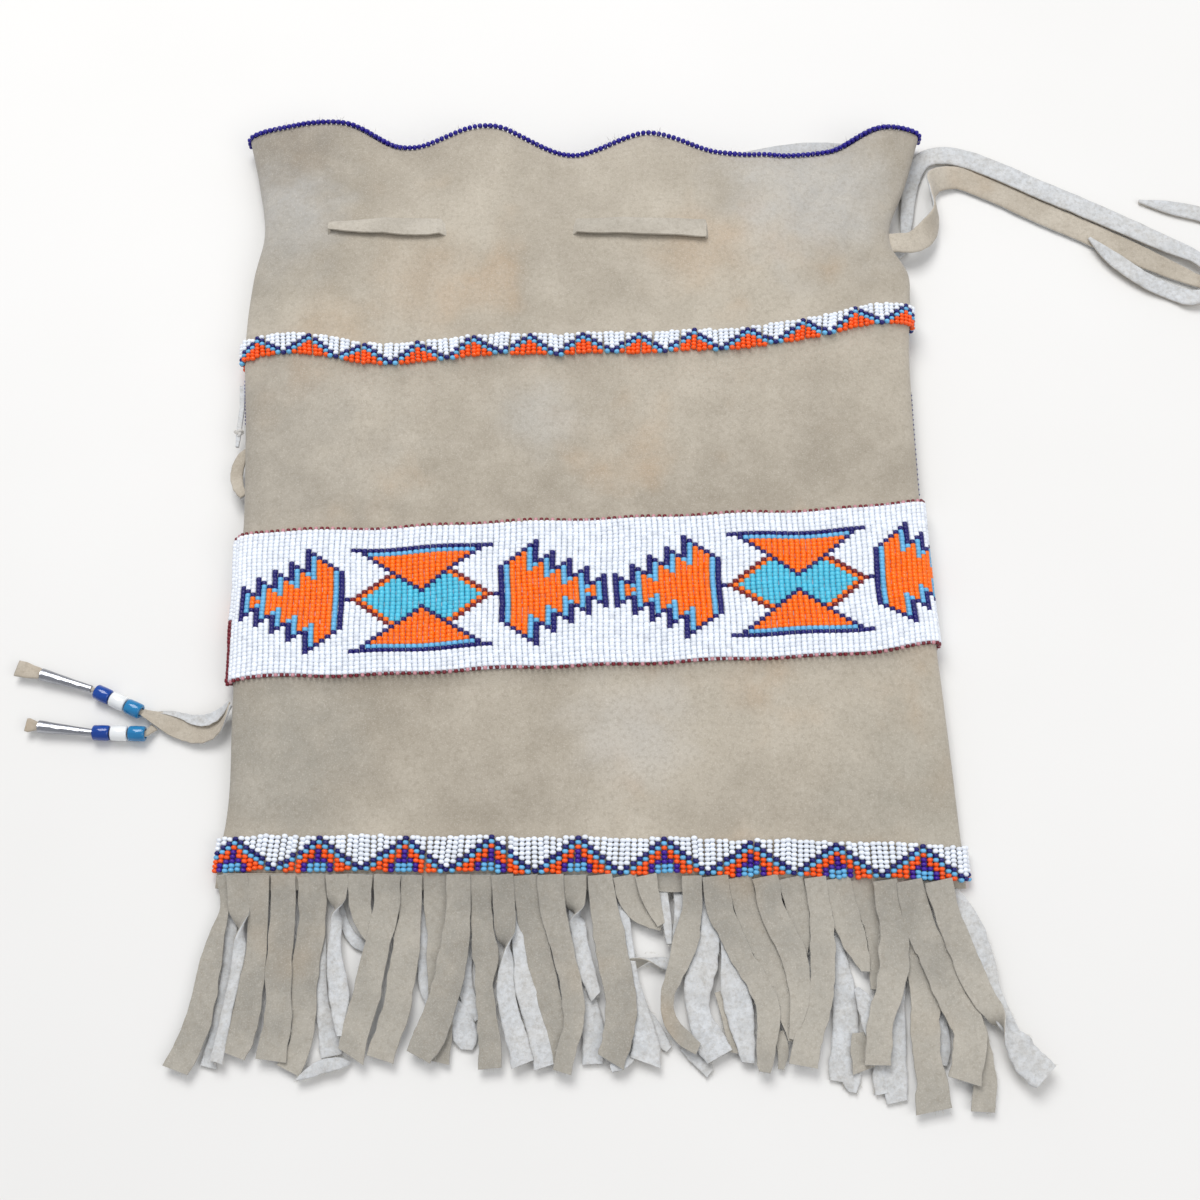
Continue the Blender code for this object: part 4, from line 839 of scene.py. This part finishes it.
def fibres(name, roots, ways, lengths, thickness=0.00006):
    """Loose threads of hide, each a bent three-sided hair from its root along its way."""
    ways = unit(ways)
    side = unit(np.cross(ways, (0.31, 0.17, 0.94)))
    top = np.cross(side, ways)
    rings = []
    for share, size in ((0.0, 1.0), (0.55, 0.8), (1.0, 0.25)):
        middle = roots + ways * (lengths * share)[:, None] + top * (lengths * 0.22 * share ** 2)[:, None]
        rings += [middle + thickness * size * (side * math.cos(a) + top * math.sin(a))
                  for a in (0.0, 2.09, 4.19)]
    faces = [(0, 2, 1), (6, 7, 8)]
    faces += [(k + i, k + (i + 1) % 3, k + 3 + (i + 1) % 3, k + 3 + i) for k in (0, 3) for i in range(3)]
    return copies(name, np.stack(rings, 1), faces)


# The fringe hide is greyer than the pouch's, which is its own tone, and darker, which is painted shade
fringe_suede_and_shade = hide_finish("fringe_suede_and_shade", shade(146, 142, 133), shade(170, 165, 154), shade(174, 154, 128),
                           flesh=FLESH_TONES, patch=16.0)
apron, columns, rows = blank_grid("fringe_apron", 160, 8)
across = -0.1230 + columns / 160 * 0.2505
depth = 0.0012 + 0.0012 * np.array([noise.noise(Vector((x * 90, 0.0, 4.0))) for x in across])
down = 0.0042 + np.minimum(0.0, smooth_line(LOWER_DRIFT, across / HALF_WIDTH)) - rows / 8 * (0.0042 + depth)
lay(apron, np.column_stack([across, down, smooth_line(ROOT_SLOPE, down) + 0.0012]))
bpy.ops.object.select_all(action="DESELECT")
apron.select_set(True)
bpy.context.view_layer.objects.active = apron
apron_wall = apron.modifiers.new("apron_wall", "SOLIDIFY")
apron_wall.thickness = 0.0010
bpy.ops.object.modifier_apply(modifier=apron_wall.name)
sew_shut(apron)
dress(apron, fringe_suede_and_shade, "buckskin", sharp=60)
strips = {"T": [], "P": []}
hair_roots, hair_ways = [], []
draw = np.random.default_rng(7)
for i, (side_up, level, roll, marks) in enumerate(FRINGE):
    marks = np.array(marks) / 1000
    marks[0, 1] += ROOT_DRIFT_SHARE * min(0.0, float(smooth_line(LOWER_DRIFT, marks[0, 0] / HALF_WIDTH)))
    run = marks_along(marks[:, :2])
    share = run / run[-1]
    tilt = np.full(len(marks), 0.0 if side_up == "T" else 180.0)
    if roll:
        tilt += 180.0 * np.clip((share - roll[0]) / (roll[1] - roll[0]), 0, 1)
    rise = np.full(len(marks), LEVELS[min(level, 3)])
    if side_up == "T" and level == 0:
        rise += FRONT_LIFT
    if side_up == "T":
        rise += smooth_line(ROOT_SLOPE, marks[:, 1]) * np.clip(1.3 - level * 0.2, 0, 1)
    else:
        rise[0] = LEVELS[0]
    rise += 0.00015 * draw.normal(0, 1, len(marks)) * (share > 0.2)
    lean = np.abs(np.sin(np.radians(tilt)))
    rise = np.maximum(rise, lean * marks[:, 2] / 2 + STRIP * 0.55)
    route = np.column_stack([marks[:, :2], rise, marks[:, 2], tilt])
    strip, line = cut_thong(f"strip_{i}", route, steps=5, thickness=STRIP, ragged=0.13, seed=i + 3,
                            cup=0.0 if side_up == "P" else 0.00035, slant=float(draw.normal(0.0, 0.16)))
    strips[side_up].append(strip)
    points = follow(route, 5)
    along = np.gradient(points[:, :3], axis=0)
    along /= np.linalg.norm(along, axis=1)[:, None]
    level_side = np.column_stack([-along[:, 1], along[:, 0], np.zeros(len(along))])
    picks = np.concatenate([draw.integers(4, len(points), FIBRES_PER_STRIP), np.full(8, len(points) - 1)])
    edge = draw.choice((-1.0, 1.0), len(picks))
    edge = edge * np.where(picks == len(points) - 1, draw.uniform(0, 1, len(picks)), 0.98)
    hair_roots.append(points[picks, :3] + level_side[picks] * (edge * points[picks, 3] / 2)[:, None]
                      + along[picks] * draw.uniform(-0.001, 0.0, (len(picks), 1)))
    hair_ways.append(level_side[picks] * edge[:, None] * draw.uniform(0.1, 0.8, (len(picks), 1))
                     + along[picks]
                     + draw.normal(0, 0.12, (len(picks), 3)))
for side_up, name in (("T", "fringe_front_layer"), ("P", "fringe_back_layer")):
    bpy.ops.object.select_all(action="DESELECT")
    for strip in strips[side_up]:
        strip.select_set(True)
    bpy.context.view_layer.objects.active = strips[side_up][0]
    bpy.ops.object.join()
    strips[side_up][0].name = name
    dress(strips[side_up][0], fringe_suede_and_shade, "buckskin", sharp=60)
hair_roots, hair_ways = np.concatenate(hair_roots), np.concatenate(hair_ways)
hair = fibres("fringe_fibres", hair_roots, hair_ways, draw.uniform(0.0006, 0.0019, len(hair_roots)))
hide_fuzz = Finish("hide_fuzz", roughness=0.95, Base_Color=shade(204, 200, 191))
dress(hair, hide_fuzz, "buckskin")

# Drawstring in its slits: the thong runs inside the bag and shows on the front between the first and the
# second slit and between the third and the fourth, and in the same way on the back.
THONG_WIDTH = 0.008
SLIT_SWELL = 0.0003
SLIT_STEP = 0.0016
girth_turns = np.linspace(0.0, 2.0, 2001)
thong_ring = pouch(girth_turns, THONG_HEIGHT)


def turn_at(x, back):
    half = slice(1000, 2001) if back else slice(0, 1001)
    line = thong_ring[half, 0]
    turns = girth_turns[half]
    order = np.argsort(line)
    return float(np.interp(x, line[order], turns[order]))


outside = CLEARANCE + THONG / 2
inside = -(HIDE + 0.0008 + THONG / 2)
stops = []
for back in (False, True):
    for i, x in enumerate(SLITS):
        inward = -1 if i % 2 == 0 else 1
        for step, out in ((inward, inside), (-inward, outside)):
            turn = turn_at(x + step * SLIT_STEP, back)
            stops.append((turn - 2.0 if back else turn, out))
stops.append((turn_at(0.092 - SLIT_STEP, True) - 2.0, inside))
stops.sort(reverse=True)
SLIT_SAG = (((0.0, 0.0034), (0.36, 0.0004), (0.68, -0.0010), (0.88, -0.0008), (1.0, 0.0006)),
            ((0.0, 0.0006), (0.33, -0.0006), (0.76, -0.0010), (1.0, -0.0016)))
route = [(0.1214, THONG_HEIGHT, 0.0084, 0, 0), (0.118, THONG_HEIGHT, 0.0084, 0, 0)]
stops.insert(0, (0.90, inside))
for (turn, out), (next_turn, next_out) in zip(stops, stops[1:] + [(stops[-1][0] - 0.001, inside)]):
    spans = max(1, int((turn - next_turn) / 0.012)) if out == next_out else 1
    for step in range(spans):
        share = step / spans
        shown = out == outside and next_out == outside
        swell = SLIT_SWELL * math.sin(math.pi * share) if shown and turn > 0 else 0.0
        point = pouch(turn + (next_turn - turn) * share, THONG_HEIGHT, out + swell)
        lean, sag = 0.0, 0.0
        if turn > 0 and (shown or out == outside):
            pair = 0 if point[0] < -0.03 else 1
            across = (point[0] - SLITS[2 * pair]) / (SLITS[2 * pair + 1] - SLITS[2 * pair])
            sag = float(smooth_line(SLIT_SAG[pair], across))
            lean = 0.0010
        route.append((*point, lean, sag))
route.append((0.094, THONG_HEIGHT, 0.00095, 0, 0))
route.append((0.1255, THONG_HEIGHT, 0.00095, 0, 0))
route = np.array(route)
steps = np.linalg.norm(np.diff(route[:, :3], axis=0), axis=1)
route = route[np.concatenate([[True], steps > 1e-5])]
piece, columns, rows = blank_grid("drawstring_in_slits", len(THONG_SECTION), len(route) - 1)
run = unit(np.gradient(route[:, :3], axis=0))
section = THONG_SECTION[columns % len(THONG_SECTION)]
face = np.cross(run, (0.0, 1.0, 0.0))
low_edge = (1 - section[:, 0]) / 2
spots = (route[rows, :3] + section[:, :1] * THONG_WIDTH / 2 * np.array((0.0, 1.0, 0.0))
         + (section[:, 1] * THONG / 2)[:, None] * face[rows])
spots[:, 1] += route[rows, 4] * low_edge
spots[:, 2] = np.maximum(spots[:, 2], 0.0)
spots[:, 2] += route[rows, 3] * (2 * low_edge - 1) * np.where(low_edge > 0.5, 0.9, 1.3)
lay(piece, spots)
sew_shut(piece)
dress(piece, slit_thong, "thong_leather", "drawstring_threaded", sharp=60)

# Seed beads: round glass beads about two millimetres across, strung on thread. One bead is modelled and
# set down at each place, turned to lie on the hide, a little uneven as hand-sorted beads are.
BEAD_ROW = 0.0015
BEAD_RADIUS = 0.00098
BEAD_DEPTH = 1.3
WOVEN_BEVEL = 0.22
STITCHED_BEVEL = 0.40


def bead_form(bevel):
    """Places of the vertices and the faces of one bead, its rims rounded off by the bevel."""
    bpy.ops.object.select_all(action="DESELECT")
    bpy.ops.mesh.primitive_cylinder_add(vertices=7, radius=1.0, depth=BEAD_DEPTH, end_fill_type="NGON")
    pattern = bpy.context.object
    form = bmesh.new()
    form.from_mesh(pattern.data)
    rims = [edge for edge in form.edges if abs(edge.verts[0].co.z - edge.verts[1].co.z) < 1e-6]
    bmesh.ops.bevel(form, geom=rims, offset=bevel, segments=1, profile=0.5, affect="EDGES")
    bmesh.ops.triangulate(form, faces=[face for face in form.faces if len(face.verts) > 4])
    form.verts.index_update()
    points = np.array([vertex.co for vertex in form.verts])
    faces = [[vertex.index for vertex in face.verts] for face in form.faces]
    form.free()
    bpy.data.objects.remove(pattern)
    return points, faces


woven_bead = bead_form(WOVEN_BEVEL)
stitched_bead = bead_form(STITCHED_BEVEL)
GLASS = {"W": shade(236, 241, 249), "O": shade(255, 116, 10), "T": shade(84, 194, 222),
         "L": shade(104, 180, 224),
         "N": shade(26, 22, 104), "R": shade(112, 22, 36), "P": shade(62, 26, 148), "I": shade(22, 2, 132),
         # K is the pink of the loom's edge rows, a painted highlight of the dark red glass
         "S": shade(196, 196, 190), "K": shade(196, 140, 148), "F": shade(248, 90, 16)}

seed_glass = Finish("seed_glass", roughness=0.3, Coat_Weight=0.06, Specular_IOR_Level=0.32)
bead_colour = seed_glass.step("Attribute", {"attribute_name": "glass"}, out="Color")
cloudy = seed_glass.cloud(700.0, 2.0)
seed_glass.set(Base_Color=seed_glass.mix(cloudy.rise(0.4, 0.8) * 0.05, bead_colour, shade(205, 208, 214)))
seed_glass.set(Roughness=cloudy * 0.2 + 0.22)


def string_beads(name, centres, holes, outward, letters, slot, nodes=(), radius=BEAD_RADIUS,
                 length=BEAD_ROW, seed=1,
                 fill=0.93, form=stitched_bead):
    """Set a bead at each centre, its hole along one direction and its top along the other."""
    bead_points, bead_faces = form
    drawn = np.random.default_rng(seed)
    count = len(centres)
    holes = unit(holes)
    across = unit(np.cross(holes, outward))
    tops = np.cross(across, holes)
    sizes = np.reshape(radius, (-1, 1)) * drawn.normal(1.0, 0.025, (count, 1)).clip(0.92, 1.05)
    filled = drawn.normal(fill, 0.025, (count, 1)).clip(fill - 0.06, fill + 0.04)
    lengths = np.reshape(length, (-1, 1)) / BEAD_DEPTH * filled
    spin = drawn.uniform(0, 2 * math.pi, (count, 1))
    turned_across = across * np.cos(spin) + tops * np.sin(spin)
    turned_tops = tops * np.cos(spin) - across * np.sin(spin)
    lean = drawn.normal(0, 0.045, (count, 1))
    turned_holes = holes + across * lean
    points = (centres[:, None, :]
              + bead_points[None, :, 0:1] * sizes[:, None] * turned_across[:, None, :]
              + bead_points[None, :, 1:2] * sizes[:, None] * turned_tops[:, None, :]
              + bead_points[None, :, 2:3] * lengths[:, None] * turned_holes[:, None, :])
    piece = copies(name, points, bead_faces)
    tint = drawn.normal(1.0, 0.05, (count, 1)).clip(0.85, 1.1)
    colours = np.array([GLASS[letter][:3] for letter in letters]) * tint
    colours = np.concatenate([colours, np.ones((count, 1))], 1)
    attribute = piece.data.color_attributes.new("glass", "FLOAT_COLOR", "POINT")
    colours = np.repeat(colours, len(bead_points), axis=0)
    attribute.data.foreach_set("color", colours.astype(np.float32).ravel())
    return dress(piece, seed_glass, slot, *nodes)


def girth_line(span, samples=4001):
    """Turns and lengths round the bag at the middle of a band."""
    turns = np.linspace(0.0, 2.0, samples)
    ring = pouch(turns, (span[0] + span[1]) / 2, 0.001)
    steps = np.hypot(np.diff(ring[:, 0]), np.diff(ring[:, 2]))
    return turns, np.concatenate([[0.0], np.cumsum(steps)])


def bead_places(lengths, heights, span, out=0.0011):
    """Centres, hole directions and outward directions of beads, by length round the band and height."""
    turns, marks = girth_line(span)
    past = np.minimum(lengths, 0.0)
    turn = np.interp(lengths, marks, turns)
    step = 0.002
    centres = pouch(turn, heights, out, soft=False)
    ahead = pouch(np.clip(turn + step, 0, 2), heights, out, soft=False)
    behind = pouch(np.clip(turn - step, 0, 2), heights, out, soft=False)
    above = pouch(turn, heights + 0.001, out, soft=False)
    below = pouch(turn, heights - 0.001, out, soft=False)
    round_way = ahead - behind
    up_way = above - below
    outward = np.cross(round_way, up_way)
    front_end = lengths < 0
    centres[front_end, 0] += past[front_end]
    outward[front_end] = (0.0, 0.0, 1.0)
    outward /= np.linalg.norm(outward, axis=1)[:, None]
    return centres, up_way, outward


# Loom band: thirty-nine rows woven on warp threads, then wrapped round the bag and sewn down. Dark red
# edge rows frame stepped arrows and hourglasses on white, with a diamond in each hourglass.
LOOM_PITCH = 0.002067
LOOM_REACH = 0.003
LOOM_HEIGHT = 39
MOTIF_PERIOD = 66
HOURGLASS_X = -0.0569


def arrow_letter(column, row):
    step = min(column // 3, 4)
    place = column - 3 * step
    height = 4 + 2 * step - place + (1 if column >= 12 else 0)
    if row > height:
        return "W"
    if column in (0, 18) or row == height:
        return "N"
    if column == 17:
        return "L"
    if place == 0:
        return "N" if row >= 2 * step else "L" if row == 2 * step - 1 else "O"
    return "L" if place == 1 and row > 2 * step - 3 else "O"


def hourglass_letter(column, row):
    if row > 13:
        return "W"
    if row == 13:
        return "N" if column <= 12 else "W"
    if row == 2 + column:
        return "N"
    if row > 2 + column:
        return "L" if row == 12 else "O"
    if column < 5:
        return "T"
    diamond = 12 - column
    return "W" if row > diamond else "R" if row == diamond else "O" if row == diamond - 1 else "T"


def loom_letter(column, row):
    row = abs(row)
    if column < 0 and row < 19:
        return "W"
    # Every third bead of the edge rows is pink, a painted highlight of the dark red glass
    if row == 19:
        return "K" if column % 3 == 1 else "R"
    place = column % MOTIF_PERIOD
    if place < 19:
        return arrow_letter(place, row)
    if place in (19, 45):
        return "N" if row == 0 else "W"
    if place < 45:
        return hourglass_letter(abs(place - 32), row)
    if place < 65:
        return arrow_letter(64 - place, row)
    return "W"


turns, marks = girth_line(LOOM_SPAN)
front_x = pouch(turns, sum(LOOM_SPAN) / 2, 0.001)[:, 0]
centre_length = float(np.interp(HOURGLASS_X, front_x[:2001], marks[:2001]))
first = int(math.floor((centre_length + LOOM_REACH) / LOOM_PITCH))
total = int((marks[-1] - centre_length) / LOOM_PITCH)
columns = np.arange(-first, total)
lengths = np.repeat(centre_length + columns * LOOM_PITCH, LOOM_HEIGHT)
levels = np.tile(np.arange(LOOM_HEIGHT) - 19, len(columns))
edge_rows = np.abs(levels) == 19
wave = 0.00036 * np.sin(lengths * 71 + 1.0) + 0.00034 * np.sin(lengths * 163 + levels * 0.11)
heights = (sum(LOOM_SPAN) / 2 + levels * BEAD_ROW * 0.987 + wave
           - np.where(edge_rows, 0.0002, 0) * np.sign(levels))
drawn = np.random.default_rng(3)
lengths = lengths + drawn.normal(0, 0.00004, len(lengths)) + 0.00022 * np.sin(levels * 0.33 + lengths * 23)
warp_heights = np.linspace(LOOM_SPAN[0] + 0.0008, LOOM_SPAN[1] - 0.0008, 12)
warp = hide_stack("loom_threads", warp_heights, np.linspace(0.0, 2.0, 161), 0.0007)
bpy.ops.object.select_all(action="DESELECT")
warp.select_set(True)
bpy.context.view_layer.objects.active = warp
thread_depth = warp.modifiers.new("thread_depth", "SOLIDIFY")
thread_depth.thickness = 0.0005
thread_depth.offset = 0.0
bpy.ops.object.modifier_apply(modifier=thread_depth.name)
sew_shut(warp)
thread = Finish("warp_thread", roughness=0.9)
thread.set(Base_Color=thread.mix(thread.cloud(900.0), shade(190, 196, 204), shade(208, 214, 222)))
dress(warp, thread, "band_beads", sharp=60)
letters = []
for column in columns:
    for level in range(-19, 20):
        edge_end = column <= columns[0] or column >= columns[-1]
        letters.append("R" if edge_end and level < -2 else loom_letter(column + 32, level))
letters = np.array(letters)
centres, holes, outward = bead_places(lengths, heights, LOOM_SPAN)
third = len(columns) // 4 * LOOM_HEIGHT
for i in range(4):
    part = slice(i * third, (i + 1) * third if i < 3 else None)
    string_beads(f"loom_beads_{i}", centres[part], holes[part], outward[part], letters[part], "band_beads",
                 ("loom_band",) if i == 0 else (), radius=np.where(edge_rows[part], 0.00074, 0.00106),
                 length=np.where(edge_rows[part], 0.00120, BEAD_ROW), seed=30 + i, fill=1.05,
                 form=woven_bead)

# Lane bands: short strings of beads sewn side by side straight to the hide, a low row of mountains
# above and a taller row along the bottom seam.
UPPER_LANE = ("NLOOOO", "WNLOOO", "WWNLOO", "WWWNLO", "WWWWNL", "WWWWWN")
LOWER_LANE = ("NLOPPPLL", "WNLOOPLL", "WWNLOOPP", "WWWNLOOO", "WWWWNLOO", "WWWWWNLO", "WWWWWWNL", "WWWWWWWN")


def sew_lane(name, span, lane, pitch, peak_x, node, seed):
    period = 2 * (len(lane) - 1)
    rows = len(lane[0])
    turns, marks = girth_line(span)
    front_x = pouch(turns, sum(span) / 2, 0.001)[:, 0]
    peak = float(np.interp(peak_x, front_x[:2001], marks[:2001]))
    columns = np.arange(-int((peak - 0.0006) / pitch), int((marks[-1] - peak - 0.0006) / pitch))
    drawn = np.random.default_rng(seed)
    shift = drawn.normal(0, 0.00014, len(columns))
    slump = drawn.normal(0, 0.00022, len(columns)) + 0.0003 * np.sin(columns * 0.37 + seed)
    tilt = 0.00030 * np.sin(columns * 0.23 + 2.0 * seed) + drawn.normal(0, 0.00012, len(columns))
    height = (span[1] - span[0]) / rows
    lengths, heights, letters = [], [], []
    for column, aside, down, slant in zip(columns, shift, slump, tilt):
        away = abs((column + period // 2) % period - period // 2)
        for row in range(rows):
            lengths.append(peak + column * pitch + aside + slant * (row - rows / 2) / rows * 2)
            heights.append(span[1] - (row + 0.5) * height + down)
            letters.append(lane[away][row])
    centres, holes, outward = bead_places(np.array(lengths), np.array(heights), span, out=0.0011)
    string_beads(name, centres, holes, outward,
                 np.array(["F" if letter == "O" else letter for letter in letters]),
                 "band_beads", (node,), radius=pitch * 0.52, length=height, seed=seed, fill=1.0)


sew_lane("upper_lane_beads", UPPER_SPAN, UPPER_LANE, 0.002096, 0.0013, "upper_lane_band", 51)
sew_lane("lower_lane_beads", LOWER_SPAN, LOWER_LANE, 0.002138, -0.0002, "lower_lane_band", 52)

# Mouth edging: indigo beads whipped over the raw edge of the mouth in short stitches of four.
MOUTH_BEAD_PITCH = 0.0020
MOUTH_FIBRES = 2400
rim_turns = np.linspace(0.0, 2.0, 4001)
rim = pouch(rim_turns, BAG_LENGTH, -HIDE / 2)
rim_marks = np.concatenate([[0.0], np.cumsum(np.linalg.norm(np.diff(rim, axis=0), axis=1))])
stitches = np.arange(0.0, rim_marks[-1], MOUTH_BEAD_PITCH)
stitch_turns = np.interp(stitches, rim_marks, rim_turns)
rim_points = pouch(stitch_turns, BAG_LENGTH, -HIDE / 2)
rim_run = (pouch(stitch_turns + 0.002, BAG_LENGTH, -HIDE / 2)
           - pouch(stitch_turns - 0.002, BAG_LENGTH, -HIDE / 2))
rim_run /= np.linalg.norm(rim_run, axis=1)[:, None]
away = np.array((0.0, 1.0, 0.0)) - rim_run * rim_run[:, 1:2]
away /= np.linalg.norm(away, axis=1)[:, None]
wall = np.cross(rim_run, away)
wall *= np.sign(np.einsum("ij,ij->i", wall, pouch(stitch_turns, BAG_LENGTH, 0.001) - rim_points))[:, None]
centres, holes, tops = [], [], []
rim_across = -np.cos(math.pi * stitch_turns)
beaded = (stitch_turns <= 1.0) | (rim_across < 0.30) | (rim_across > 0.93)
for angle in (-125, -58, 8, 62):
    a = math.radians(angle)
    ring = (away * math.cos(a) + wall * math.sin(a))[beaded]
    centres.append(rim_points[beaded] + ring * 0.0015)
    holes.append((wall * math.cos(a) - away * math.sin(a))[beaded])
    tops.append(ring)
centres = np.concatenate(centres)
centres[:, 2] = np.maximum(centres[:, 2], 0.0011)
string_beads("mouth_beads", centres, np.concatenate(holes), np.concatenate(tops),
             np.array(["I"] * len(centres)),
             "mouth_beads", ("mouth_edging",), radius=0.00099, length=0.0018, seed=61)
draw = np.random.default_rng(17)
picks = draw.choice(np.flatnonzero(beaded), MOUTH_FIBRES)
hair_roots = (rim_points[picks] + away[picks] * draw.uniform(-0.0008, 0.0016, (MOUTH_FIBRES, 1))
              + draw.normal(0, 0.0008, (MOUTH_FIBRES, 3)))
hair_roots[:, 2] = np.maximum(hair_roots[:, 2], 0.0006)
hair_ways = (away[picks] * 0.8 + wall[picks] * draw.uniform(-0.6, 1.0, (MOUTH_FIBRES, 1))
             + draw.normal(0, 0.5, (MOUTH_FIBRES, 3)))
hair = fibres("mouth_fibres", hair_roots, hair_ways, draw.uniform(0.0008, 0.0022, MOUTH_FIBRES), 0.00007)
dress(hair, hide_fuzz, "buckskin")

# Side edgings: a few small beads stitched along the left seam and along the right fold.
for name, node, side_turn, low, high, pattern, size, out in (
        ("left_seam_beads", "left_seam_edging", 0.0, 0.1775, UPPER_SPAN[0] - 0.005, "II", 0.00075, -0.0003),
        ("right_fold_beads", "right_fold_edging", 1.0, LOOM_SPAN[1] + 0.003, 0.176, "NSNS", 0.0005, 0.0001)):
    spots = np.arange(low + 0.0008, high, size * 1.9)
    centres = pouch(np.full(len(spots), side_turn), spots, out, soft=False)
    holes = np.tile((0.0, 1.0, 0.0), (len(spots), 1))
    tops = np.tile((0.0, 0.0, 1.0), (len(spots), 1))
    letters = np.array([pattern[i % len(pattern)] for i in range(len(spots))])
    string_beads(name, centres, holes, tops, letters, "seam_beads", (node,), radius=size,
                 length=size * 1.8, seed=71)
